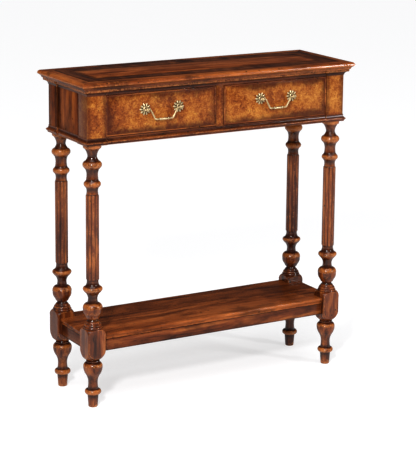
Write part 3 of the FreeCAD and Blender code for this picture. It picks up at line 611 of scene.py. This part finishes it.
# a lathe: the seed mesh is the section (x radius, y crest, z height), and reeds can be laid round its shaft
def latheTree():
    inputs = [("Rows", "NodeSocketInt"), ("Columns", "NodeSocketInt"), ("Reeds", "NodeSocketInt"),
              ("Reed Radius", "NodeSocketFloat"), ("Reed Reach", "NodeSocketFloat"),
              ("Reed Low", "NodeSocketFloat"), ("Reed High", "NodeSocketFloat"),
              ("Material", "NodeSocketMaterial")]
    tree, given = newGeometryTree("turned piece", inputs)
    sheet, around, radius, crest, height = sectionSheet(tree, given)
    angle = around * math.tau
    # each reed is a round rod let into the shaft, with domed ends
    sector = math.tau / given.out("Reeds").greater(1)
    turn = (angle / sector + 0.5).maths("FRACT") * sector - sector * 0.5
    thick = given.out("Reed Radius")
    seat = given.out("Reed Reach") - thick
    below = given.out("Reed Low") + thick - height
    above = height - (given.out("Reed High") - thick)
    past = below.greater(above).greater(0)
    reedHere = (thick * thick - past * past).greater(0).maths("SQRT")
    aside = turn.maths("SINE") * seat
    bulge = (reedHere * reedHere - aside * aside).greater(0).maths("SQRT")
    covered = reedHere.maths("GREATER_THAN", aside.maths("ABSOLUTE"))
    reedRadius = (turn.maths("COSINE") * seat + bulge) * covered
    onReed = (thick - past).maths("GREATER_THAN", 0)
    reeded = radius.greater(reedRadius * onReed)
    # the valleys between reeds are low and dark with grime and painted shade, their backs a little rubbed and
    # painted highlit
    lift = (reeded - radius) / (given.out("Reed Reach") - radius).greater(0.0001)
    crest = crest + onReed * (lift * 1.5 - 0.95)
    return wrapSheet(tree, given, sheet, crest, reeded, angle, height)


lathe = latheTree()


def sectionMesh(name, points, marks):
    mesh = bpy.data.meshes.new(name)
    mesh.from_pydata([(point.x * mm, mark, point.y * mm) for point, mark in zip(points, marks)], [], [])
    return mesh


# turn a section of millimetre points about the z axis
def turnedPiece(name, points, marks, columns, reeds=None):
    values = {"Rows": len(points), "Columns": columns, "Reeds": 1, "Reed Radius": 0.0,
              "Reed Reach": 0.0, "Reed Low": 0.0, "Reed High": 0.0}
    values.update(reeds or {})
    return grown(name, sectionMesh(name + "_section", points, marks), lathe, values)


# closer rows where the reeds' ends are domed
def withReedRows(points, look):
    rows = []
    ends = [look["reedRadius"] * (1 - math.cos(math.radians(step))) for step in range(0, 91, 15)]
    heights = [look["reedLow"] + rise for rise in ends] + [look["reedHigh"] - rise for rise in reversed(ends)]
    for start, end in zip(points, points[1:]):
        rows.append(start)
        if start.y < look["reedLow"] and end.y > look["reedHigh"]:
            rows += [Vector((start.x, height)) for height in heights]
    return rows + [points[-1]]


# saw the four flats of the block and ease their arrises
def squareBlock(piece, look):
    build = bmesh.new()
    build.from_mesh(piece.data)
    crest = build.verts.layers.float["crest"]
    half = look["square"] / 2 * mm
    for side in (Vector((1, 0, 0)), Vector((-1, 0, 0)), Vector((0, 1, 0)), Vector((0, -1, 0))):
        block = [face for face in build.faces
                 if look["squareLow"] * mm < face.calc_center_median().z < look["squareHigh"] * mm]
        around = {edge for face in block for edge in face.edges}
        around |= {point for face in block for point in face.verts}
        cut = bmesh.ops.bisect_plane(build, geom=block + list(around), dist=0.001 * mm, plane_co=side * half,
                                     plane_no=side, clear_outer=True)
        edges = [item for item in cut["geom_cut"]
                 if isinstance(item, bmesh.types.BMEdge) and item.is_boundary]
        made = bmesh.ops.contextual_create(build, geom=edges)
        # arris points get full crest, painted as rub wear and a highlight
        for edge in edges:
            for point in edge.verts:
                point[crest] = 1.0
        bmesh.ops.inset_region(build, faces=made["faces"], thickness=look["arris"] * mm, depth=0)
        for face in made["faces"]:
            for point in face.verts:
                point[crest] = 0.0
    bmesh.ops.recalc_face_normals(build, faces=build.faces)
    build.to_mesh(piece.data)
    build.free()


def makeLegs(look):
    plain = drawnSection(look["stations"])
    points = withReedRows(plain, look)
    marks = crests(points, look["crestWindow"], look["crestFull"])
    for index, point in enumerate(points):
        if look["squareLow"] < point.y < look["squareHigh"] or point.y > look["tenonFrom"]:
            marks[index] = 0.0
    reeds = {"Reeds": look["reeds"], "Reed Radius": look["reedRadius"] * mm,
             "Reed Reach": look["reedReach"] * mm, "Reed Low": look["reedLow"] * mm,
             "Reed High": look["reedHigh"] * mm}
    pattern = turnedPiece("leg_pattern", points, marks, look["columns"], reeds)
    squareBlock(pattern, look)
    smoothed(pattern, 38)
    for number, node in enumerate(sorted(name for name in nodes if name.startswith("leg_"))):
        low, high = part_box(node)
        middle = (low + high) / 2
        leg = bpy.data.objects.new(node + "_turned", pattern.data.copy())
        bpy.context.scene.collection.objects.link(leg)
        leg.data.transform(Matrix.Translation((middle.x, middle.y, 0)))
        # the legs at the back take the darker walnut, a painted shade
        colours = {**look["walnut"], **(look["backWalnut"] if "back" in node else {})}
        finish = timber("turned walnut " + node.replace("_", " "), colours, grain="z", patch=1.3 + number,
                        shape=True)
        settle(leg, node, finish)
    bpy.data.objects.remove(pattern)
    print("legs turned")


makeLegs(legTurning)

moulding = {
    # outward, up and swell of each station in millimetres, from the underside round the front
    "lip": [(-8.5, 0, 0), (-8.5, 1.4, 0), (-1.3, 8.4, -1.1), (-0.9, 12.2, 0.8), (-6.2, 18, 1.3),
            (-30, 18, 0)],
    "bed": [(0, 0, 0), (0.8, 0, 0), (9.3, 9.2, -2.4), (10.5, 9.8, 0), (10.5, 16, 0), (0, 16, 0)],
    "base": [(0, 0, 0), (2.4, 0, 0), (4.4, 4.4, -0.6), (4.6, 9.2, 1.4), (0.9, 17.1, -1.6),
             (0.9, 18, 0), (0, 18, 0)],
    "lipBack": -30,
    # half the top's width and depth where its edge is widest
    "topReach": (387.5, 128.5),
    "spacing": 12,
    "worn": 1.4,
    # how much each moulding is dented, how far a crest is looked for, and how proud a full one is
    "lipWear": (0.5, 4.0, 1.5),
    "bedWear": (0.25, 3.0, 1.1),
    "baseWear": (0.3, 3.0, 1.1),
    # the mouldings' walnut, whose hollows darken with grime and painted shade
    "walnut": {"dark": (40, 17, 8), "mid": (92, 44, 20), "light": (132, 74, 36), "stretch": 0.05,
               "specks": 0.5, "dirt": 0.95, "polish": 0.34},
    "lipWalnut": {"mid": (118, 60, 27), "light": (164, 96, 47)},
}


# the four sides of a ring, each a list of (corner, outward) in plan from one mitre to the next
def ringSides(quarter):
    front = [(Vector((-x, -y)), Vector((-u, -v))) for x, y, u, v in reversed(quarter["front"])]
    front += [(Vector((x, -y)), Vector((u, -v))) for x, y, u, v in quarter["front"]]
    right = [(Vector((x, -y)), Vector((u, -v))) for x, y, u, v in quarter["side"]]
    right += [(Vector((x, y)), Vector((u, v))) for x, y, u, v in reversed(quarter["side"])]

    def about(side):
        return [(-corner, -outward) for corner, outward in side]
    return {"front": front, "right": right, "back": about(front), "left": about(right)}


# sweep a section along one side, a little worn, and mark its crests and corners
def sweptMoulding(name, section, marks, side, low, back, wear):
    build = bmesh.new()
    crest = build.verts.layers.float.new("crest")
    columns = []
    for (start, startOut), (end, endOut) in zip(side, side[1:]):
        length = (end - start).length
        near = moulding["worn"] * mm / length
        count = max(1, round(length / (moulding["spacing"] * mm)))
        shares = [0.0] + ([near, 1 - near] if length > 4 * mm else [])
        shares += [step / count for step in range(1, count) if near < step / count < 1 - near]
        for share in sorted(shares):
            columns.append((start, startOut, end, endOut, share))
    columns.append((*side[-2], *side[-1], 1.0))
    rows = []
    for start, startOut, end, endOut, share in columns:
        corner = share in (0.0, 1.0)
        row = []
        for index, (point, mark) in enumerate(zip(section, marks)):
            firstAt = start + startOut * point.x * mm
            lastAt = end + endOut * point.x * mm
            at = firstAt.lerp(lastAt, share)
            place = Vector((at.x, at.y, low + point.y * mm))
            outward = startOut.lerp(endOut, share)
            inside = index in (0, len(section) - 1)
            dent = 0 if inside else wear * mm * (0.5 + 0.5 * noise.noise(place * 38)) * max(0.0, mark + 0.35)
            place -= Vector((outward.x, outward.y, 0.35)) * dent
            vertex = build.verts.new(place)
            vertex[crest] = max(mark, 0.9) if corner and not inside else mark
            row.append(vertex)
        # the hidden back of the moulding
        hidden = [(back, section[-1].y), (back, section[0].y)]
        for across, up in hidden:
            at = (start + startOut * across * mm).lerp(end + endOut * across * mm, share)
            row.append(build.verts.new((at.x, at.y, low + up * mm)))
        rows.append(row)
    count = len(rows[0])
    for first, second in zip(rows, rows[1:]):
        for index in range(count):
            after = (index + 1) % count
            build.faces.new((first[index], second[index], second[after], first[after]))
    build.faces.new(rows[0])
    build.faces.new(reversed(rows[-1]))
    bmesh.ops.remove_doubles(build, verts=build.verts, dist=weld)
    bmesh.ops.recalc_face_normals(build, faces=build.faces)
    return smoothed(meshPiece(name, build), 35)


def makeMouldings(look):
    blockLow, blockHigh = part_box("corner_block_front_right")
    faceY = -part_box("drawer_rail_lower")[0].y
    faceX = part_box("end_panel_right")[1].x
    outX, outY = blockHigh.x, -blockLow.y
    inX, inY = blockLow.x, -blockHigh.y
    broken = {
        # x, y and the outward direction at each corner, from the middle of the front to the mitre,
        # and from there back
        "front": [(inX, faceY, -1, 1), (inX, outY, -1, 1), (outX, outY, 1, 1)],
        "side": [(outX, outY, 1, 1), (outX, inY, 1, -1), (faceX, inY, 1, -1)],
    }
    topX, topY = (reach * mm for reach in look["topReach"])
    plain = {"front": [(topX, topY, 1, 1)], "side": [(topX, topY, 1, 1)]}
    rings = {
        "top_edge": ("lip", plain, look["lipBack"]),
        "bed_moulding": ("bed", broken, 0),
        "base_moulding": ("base", broken, 0),
    }
    for number, (node, (key, quarter, back)) in enumerate(rings.items()):
        wear, window, full = look[key + "Wear"]
        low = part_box(node + "_front")[0].z
        section = drawnSection(look[key], 0.7)
        marks = crests(section, window, full)
        for order, (side, corners) in enumerate(ringSides(quarter).items()):
            piece = sweptMoulding(f"{node}_{side}_run", section, marks, corners, low, back, wear)
            grain = "x" if side in ("front", "back") else "y"
            colours = {**look["walnut"], **(look["lipWalnut"] if key == "lip" else {})}
            finish = timber(f"moulded walnut {node} {side}".replace("_", " "), colours, grain=grain,
                            patch=7.1 + number * 4 + order, shape=True)
            settle(piece, f"{node}_{side}", finish)
    print("mouldings run")


makeMouldings(moulding)

handle = {
    # every length in millimetres
    "apart": 92.0,
    "petals": 10,
    "rosetteOuter": 15.5,
    "rosetteValley": 11.8,
    "petalDip": 0.55,
    # share of the outline, height and crest
    "rosetteSection": [(0, 1.75, 0), (0.36, 1.75, 0), (0.4, 1.2, 0.1), (0.46, 1.9, 0), (0.62, 2.0, 0.1),
                       (0.97, 0.75, 0.1), (1.0, 0.35, 0), (0, 0, 0)],
    # radius, height and swell, from the drawer's face outwards
    "postSection": [(0, 0.2, 0), (5.0, 0.2, 0), (5.0, 2.1, 0.5), (3.2, 3.2, 0), (2.6, 4.4, -0.3),
                    (2.9, 7.5, 0), (4.6, 11.5, 1.0), (3.3, 14.7, 0.6), (0, 16.1, 0.5)],
    "postWear": (1.6, 0.5),
    "rod": 2.0,
    "bead": 3.2,
    "barrel": 2.9,
    "beadAt": 11.5,
    "drop": 25.0,
    "bend": 7.0,
    "turn": 62.0,
    "eye": 4.6,
    "tail": 7.0,
    "tipSwell": 2.6,
    "axis": 11.5,
}


# a scalloped plate: the seed mesh is its section as shares of an outline with pointed petals
def rosetteTree():
    inputs = [("Rows", "NodeSocketInt"), ("Columns", "NodeSocketInt"), ("Petals", "NodeSocketInt"),
              ("Outer", "NodeSocketFloat"), ("Valley", "NodeSocketFloat"), ("Dip", "NodeSocketFloat"),
              ("Material", "NodeSocketMaterial")]
    tree, given = newGeometryTree("rosette", inputs)
    sheet, around, share, crest, height = sectionSheet(tree, given)
    # 0 on a petal's rib and 1 in the gap between two petals
    gap = ((around * given.out("Petals") + 0.5).maths("FRACT") - 0.5).maths("ABSOLUTE") * 2
    outer = given.out("Outer")
    outline = outer - (outer - given.out("Valley")) * gap.maths("POWER", 0.85)
    onPetal = share.step(0.42, 0.62)
    sunk = height * (1 - given.out("Dip") * onPetal * gap * gap)
    crest = crest + onPetal * (0.75 - gap * 1.6)
    return wrapSheet(tree, given, sheet, crest, share * outline, around * math.tau, sunk)


# a rod drawn along a line of points, as thick as its "thick" attribute says
def rodTree():
    inputs = [("Sides", "NodeSocketInt"), ("Material", "NodeSocketMaterial")]
    tree, given = newGeometryTree("drawn rod", inputs)
    line = tree.add("GeometryNodeMeshToCurve", {}, {"Mesh": given.out("Geometry")})
    thick = tree.add("GeometryNodeInputNamedAttribute", {"data_type": "FLOAT"}, {"Name": "thick"})
    ring = tree.add("GeometryNodeCurvePrimitiveCircle", {}, {"Resolution": given.out("Sides"), "Radius": 1.0})
    tube = tree.add("GeometryNodeCurveToMesh", {}, {"Curve": line, "Profile Curve": ring, "Scale": thick,
                                                    "Fill Caps": True})
    return closeTree(tree, given, tube)


# copies of one piece set at several places, as one mesh
def gathered(name, pattern, places):
    build = bmesh.new()
    for place in places:
        copy = pattern.data.copy()
        copy.transform(place)
        build.from_mesh(copy)
        bpy.data.meshes.remove(copy)
    bpy.data.objects.remove(pattern)
    bmesh.ops.recalc_face_normals(build, faces=build.faces)
    return meshPiece(name, build)


# the line of the bail from its middle to its right end: (across, up, thick, crest)
def bailLine(look):
    turn = math.radians(look["turn"])
    aside, down = look["bend"] * math.sin(turn), look["bend"] * (1 - math.cos(turn))
    slantDown = look["drop"] - 2 * down
    slantAside = slantDown / math.tan(turn)
    highX = look["apart"] / 2 - look["eye"]
    lowX = highX - 2 * aside - slantAside
    line = []
    rod, drop, bend = look["rod"], look["drop"], look["bend"]
    # a barrel between two beads, with fine necks beside them
    for across in range(0, 10):
        share = across / 9.5
        line.append((across, -drop, rod + (look["barrel"] - rod) * (1 - share ** 3), 0.6))
    for step in range(-6, 7):
        angle = math.radians(step * 14)
        thick = rod * 0.9 + (look["bead"] - rod * 0.9) * math.cos(angle)
        crest = 0.9 if abs(step) < 4 else -0.7
        line.append((look["beadAt"] + 1.9 * math.sin(angle), -drop, thick, crest))
    for across in range(14, int(lowX), 2):
        line.append((across, -drop, rod, 0.2))
    # the arm: a bend up, a slant and a bend into the post's eye
    for step in range(0, 9):
        angle = turn * step / 8
        line.append((lowX + bend * math.sin(angle), bend * (1 - math.cos(angle)) - drop, rod * 1.08, 0.5))
    for step in range(8, -1, -1):
        angle = turn * step / 8
        line.append((highX - bend * math.sin(angle), -bend * (1 - math.cos(angle)), rod, 0.3))
    end = look["apart"] / 2 + look["tail"]
    line += [(highX + 4, 0, rod, -0.4), (end - 3.4, 0, rod, 0.2)]
    # a small knob on its tail
    for step in range(0, 7):
        angle = math.radians(30 + step * 25)
        line.append((end - 1.6 - 1.6 * math.cos(angle), 0, max(0.3, look["tipSwell"] * math.sin(angle)), 0.8))
    return line


def makeHandles(look):
    brassFinish = agedBrass("antique brass")
    rosette, rod = rosetteTree(), rodTree()
    section = [Vector((share * 1000, height)) for share, height, mark in look["rosetteSection"]]
    posts = drawnSection(look["postSection"], 0.5)
    # stand a z-up piece on the drawer's face, looking forward
    forward = Matrix.Rotation(math.radians(90), 4, "X")
    for side in ("left", "right"):
        lowFace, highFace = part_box(f"drawer_{side}_rosettes")
        middleX, faceY = (lowFace.x + highFace.x) / 2, highFace.y
        centreZ = (lowFace.z + highFace.z) / 2
        seats = [Matrix.Translation((middleX + hand * look["apart"] / 2 * mm, faceY, centreZ)) @ forward
                 for hand in (-1, 1)]
        values = {"Rows": len(section), "Columns": look["petals"] * 16, "Petals": look["petals"],
                  "Outer": look["rosetteOuter"] * mm, "Valley": look["rosetteValley"] * mm,
                  "Dip": look["petalDip"]}
        marks = [mark for share, height, mark in look["rosetteSection"]]
        seed = sectionMesh(f"rosette_section_{side}", section, marks)
        pattern = grown("rosette_pattern", seed, rosette, values)
        plates = gathered(f"drawer_{side}_rosette_pair", pattern, seats)
        settle(smoothed(plates, 40), f"drawer_{side}_rosettes", brassFinish)
        pattern = turnedPiece("post_pattern", posts, crests(posts, *look["postWear"]), 32)
        pins = gathered(f"drawer_{side}_post_pair", pattern, seats)
        settle(smoothed(pins, 40), f"drawer_{side}_posts", brassFinish)
        half = bailLine(look)
        line = [(-across, up, thick, mark) for across, up, thick, mark in reversed(half[1:])] + half
        mesh = bpy.data.meshes.new("bail_line")
        axisY = faceY - look["axis"] * mm
        places = [(middleX + across * mm, axisY, centreZ + up * mm) for across, up, thick, mark in line]
        mesh.from_pydata(places, [(index, index + 1) for index in range(len(line) - 1)], [])
        thicks = [thick * mm for across, up, thick, mark in line]
        marks = [mark for across, up, thick, mark in line]
        mesh.attributes.new("thick", "FLOAT", "POINT").data.foreach_set("value", thicks)
        mesh.attributes.new("crest", "FLOAT", "POINT").data.foreach_set("value", marks)
        bail = grown(f"drawer_{side}_bail_rod", mesh, rod, {"Sides": 20})
        settle(smoothed(bail, 50), f"drawer_{side}_bail", brassFinish)
    print("handles made")


makeHandles(handle)

boards = {
    # node: how much its arrises are eased in millimetres, and its grain
    "corner_block_front_left": (0.8, "z"), "corner_block_front_right": (0.8, "z"),
    "corner_block_back_left": (0.8, "z"), "corner_block_back_right": (0.8, "z"),
    "drawer_rail_lower": (0.4, "x"), "drawer_rail_upper": (0.4, "x"), "drawer_divider": (0.4, "z"),
    "end_panel_left": (0.3, "z"), "end_panel_right": (0.3, "z"), "back_panel": (0.3, "x"),
    "shelf_rail_front": (0.8, "x"), "shelf_rail_back": (0.8, "x"),
    "shelf_rail_left": (0.8, "y"), "shelf_rail_right": (0.8, "y"),
    "shelf_board": (4.0, "x"),
    "top_field_veneer": (0.12, "x"), "top_crossband": (0.12, "y"),
    "drawer_left_cockbead": (0.2, "x"), "drawer_right_cockbead": (0.2, "x"),
    "drawer_left_front": (0.3, "x"), "drawer_right_front": (0.3, "x"),
}


boardLooks = {
    # each Margin is the width of a darkened border, aged finish and painted shade, in metres
    "panel": {"mid": (108, 52, 21), "light": (148, 82, 34), "polish": 0.06, "shine": 0.02},
    "longRail": {"polish": 0.3},
    "endRail": {"mid": (84, 40, 18), "light": (114, 62, 30), "shine": 0.03},
    "field": {"dark": (78, 36, 16), "mid": (138, 74, 36), "light": (174, 104, 54), "polish": 0.06},
    "crossband": {"dark": (50, 24, 12), "mid": (84, 44, 24), "light": (112, 62, 32), "polish": 0.06},
    "shelf": {"dark": (70, 32, 14), "mid": (134, 72, 34), "light": (170, 100, 52), "gloss": 0.22,
              "polish": 0.12},
    "stileMargin": 0.012,
    "frontMargin": 0.024,
    "panelMargin": 0.02,
    "railMargin": 0.004,
    "fieldMargin": 0.02,
    "crossbandMargin": 0.01,
}


def boardFinish(node, grain, number, looks):
    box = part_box(node)
    patch = 20.0 + number * 1.37  # a patch of timber of its own
    label = node.replace("_", " ")
    if node.startswith("corner_block_front") or node == "drawer_divider":
        return burlVeneer("burr veneer " + label, box, (0, 2), looks["stileMargin"], patch, 0.55, -0.02,
                          shape=True)
    if node.endswith("_front") and node.startswith("drawer_"):
        return burlVeneer("burr veneer " + label, box, (0, 2), looks["frontMargin"], patch, 0.8)
    if node.startswith("end_panel") or node.startswith("corner_block"):
        return timber("panel walnut " + label, looks["panel"], grain, patch, figure=0.03, shape=True,
                      margin=looks["panelMargin"], axes=(1, 2), box=box, marginDark=0.72)
    if node.startswith("shelf_rail"):
        lengthwise = node.endswith(("front", "back"))
        colours = looks["longRail"] if lengthwise else looks["endRail"]
        return timber("rail walnut " + label, colours, grain, patch, figure=0.02, shape=True,
                      margin=looks["railMargin"], axes=(0, 2) if lengthwise else (1, 2), box=box,
                      marginDark=0.8)
    if node == "top_field_veneer":
        return timber("field veneer", looks["field"], grain, patch, figure=0.02,
                      margin=looks["fieldMargin"], axes=(0, 1), box=box)
    if node == "top_crossband":
        return timber("crossbanding", looks["crossband"], grain, patch, margin=looks["crossbandMargin"],
                      axes=(0, 1), box=box)
    if node == "shelf_board":
        return timber("shelf walnut", looks["shelf"], grain, patch, figure=0.02, shape=True)
    return timber("walnut " + label, {}, grain, patch, shape=True)


def makeBoards():
    for number, (node, (ease, grain)) in enumerate(boards.items()):
        piece = eased(node, ease * mm)
        settle(piece, node, boardFinish(node, grain, number, boardLooks))
    bare = {"x": bareWood("bare wood along", "x", 1), "y": bareWood("bare wood across", "y", 2)}
    for node in nodes:
        if slotOf[node] == "plain_carcass_wood":
            low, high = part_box(node)
            nodes[node].data.materials.clear()
            nodes[node].data.materials.append(bare["x" if high.x - low.x > high.y - low.y else "y"])
    steel = darkSteel("dark steel")
    nodes["top_screws"].data.materials.clear()
    nodes["top_screws"].data.materials.append(steel)
    print("boards laid")


makeBoards()

studio = {
    "floorSize": 60,
    "floor": (168, 168, 169),
    "floorGlow": (255, 255, 255),
    "floorLight": 0.66,
    "sky": (240, 243, 248),
    "skyStrength": 0.11,
}
lamps = {
    # place, aim, width, height, watts
    "key": ((-2.6, -3.0, 2.7), (0, 0, 0.5), 0.42, 0.6, 185),
    "fill": ((2.6, -3.2, 1.9), (0, 0, 0.5), 0.34, 0.5, 85),
}
overhead = {"strength": 2.1, "angle": 50, "tilt": (14, -10, 0)}
view = {
    "place": (-2.1216, -3.6722, 1.4704),
    "turn": 30.337,
    "tilt": 11.335,
    "roll": 0.572,
    "lens": 132.38,
    "shift": (0.0, -0.199),
}


def makeStage():
    build = bmesh.new()
    bmesh.ops.create_grid(build, x_segments=1, y_segments=1, size=studio["floorSize"] / 2)
    floor = meshPiece("studio_floor", build)
    finish = Finish("studio floor")
    cloud = finish.noise(finish.place, 1.5, 3)
    colour = finish.blend(cloud * 0.1, tint(*studio["floor"]), tint(170, 170, 172))
    glow = finish.blend(cloud * 0.02, tint(*studio["floorGlow"]), tint(240, 240, 240))
    floor.data.materials.append(finish.shaded(colour, 0.9 + cloud * 0.05, Specular_IOR_Level=0.1,
                                              Emission_Color=glow, Emission_Strength=studio["floorLight"]))
    world = bpy.data.worlds.new("studio light")
    world.use_nodes = True
    bpy.context.scene.world = world
    sky = world.node_tree.nodes["Background"]
    sky.inputs["Color"].default_value = (*tint(*studio["sky"]), 1)
    sky.inputs["Strength"].default_value = studio["skyStrength"]
    for name, (place, aim, wide, tall, watts) in lamps.items():
        light = bpy.data.lights.new(name, "AREA")
        light.shape = "RECTANGLE"
        light.size, light.size_y, light.energy = wide, tall, watts
        lamp = bpy.data.objects.new(name, light)
        lamp.location = place
        lamp.rotation_euler = (Vector(aim) - Vector(place)).to_track_quat("-Z", "Y").to_euler()
        bpy.context.scene.collection.objects.link(lamp)
    sun = bpy.data.lights.new("overhead", "SUN")
    sun.energy, sun.angle = overhead["strength"], math.radians(overhead["angle"])
    lamp = bpy.data.objects.new("overhead", sun)
    lamp.rotation_euler = [math.radians(part) for part in overhead["tilt"]]
    bpy.context.scene.collection.objects.link(lamp)
    print("stage set")


def makeCamera():
    turn, tilt, roll = (math.radians(view[key]) for key in ("turn", "tilt", "roll"))
    ahead = Vector((math.sin(turn) * math.cos(tilt), math.cos(turn) * math.cos(tilt), -math.sin(tilt)))
    right = Vector((math.cos(turn), -math.sin(turn), 0))
    up = right.cross(ahead)
    right, up = right * math.cos(roll) + up * math.sin(roll), up * math.cos(roll) - right * math.sin(roll)
    lens = bpy.data.cameras.new("camera")
    lens.lens = view["lens"]
    lens.shift_x, lens.shift_y = view["shift"]
    camera = bpy.data.objects.new("camera", lens)
    facing = Matrix((right, up, -ahead)).transposed().to_4x4()
    camera.matrix_world = Matrix.Translation(view["place"]) @ facing
    bpy.context.scene.collection.objects.link(camera)
    bpy.context.scene.camera = camera


makeStage()
makeCamera()
bpy.context.scene.view_settings.view_transform = "Standard"
bpy.context.scene.view_settings.gamma = 0.8
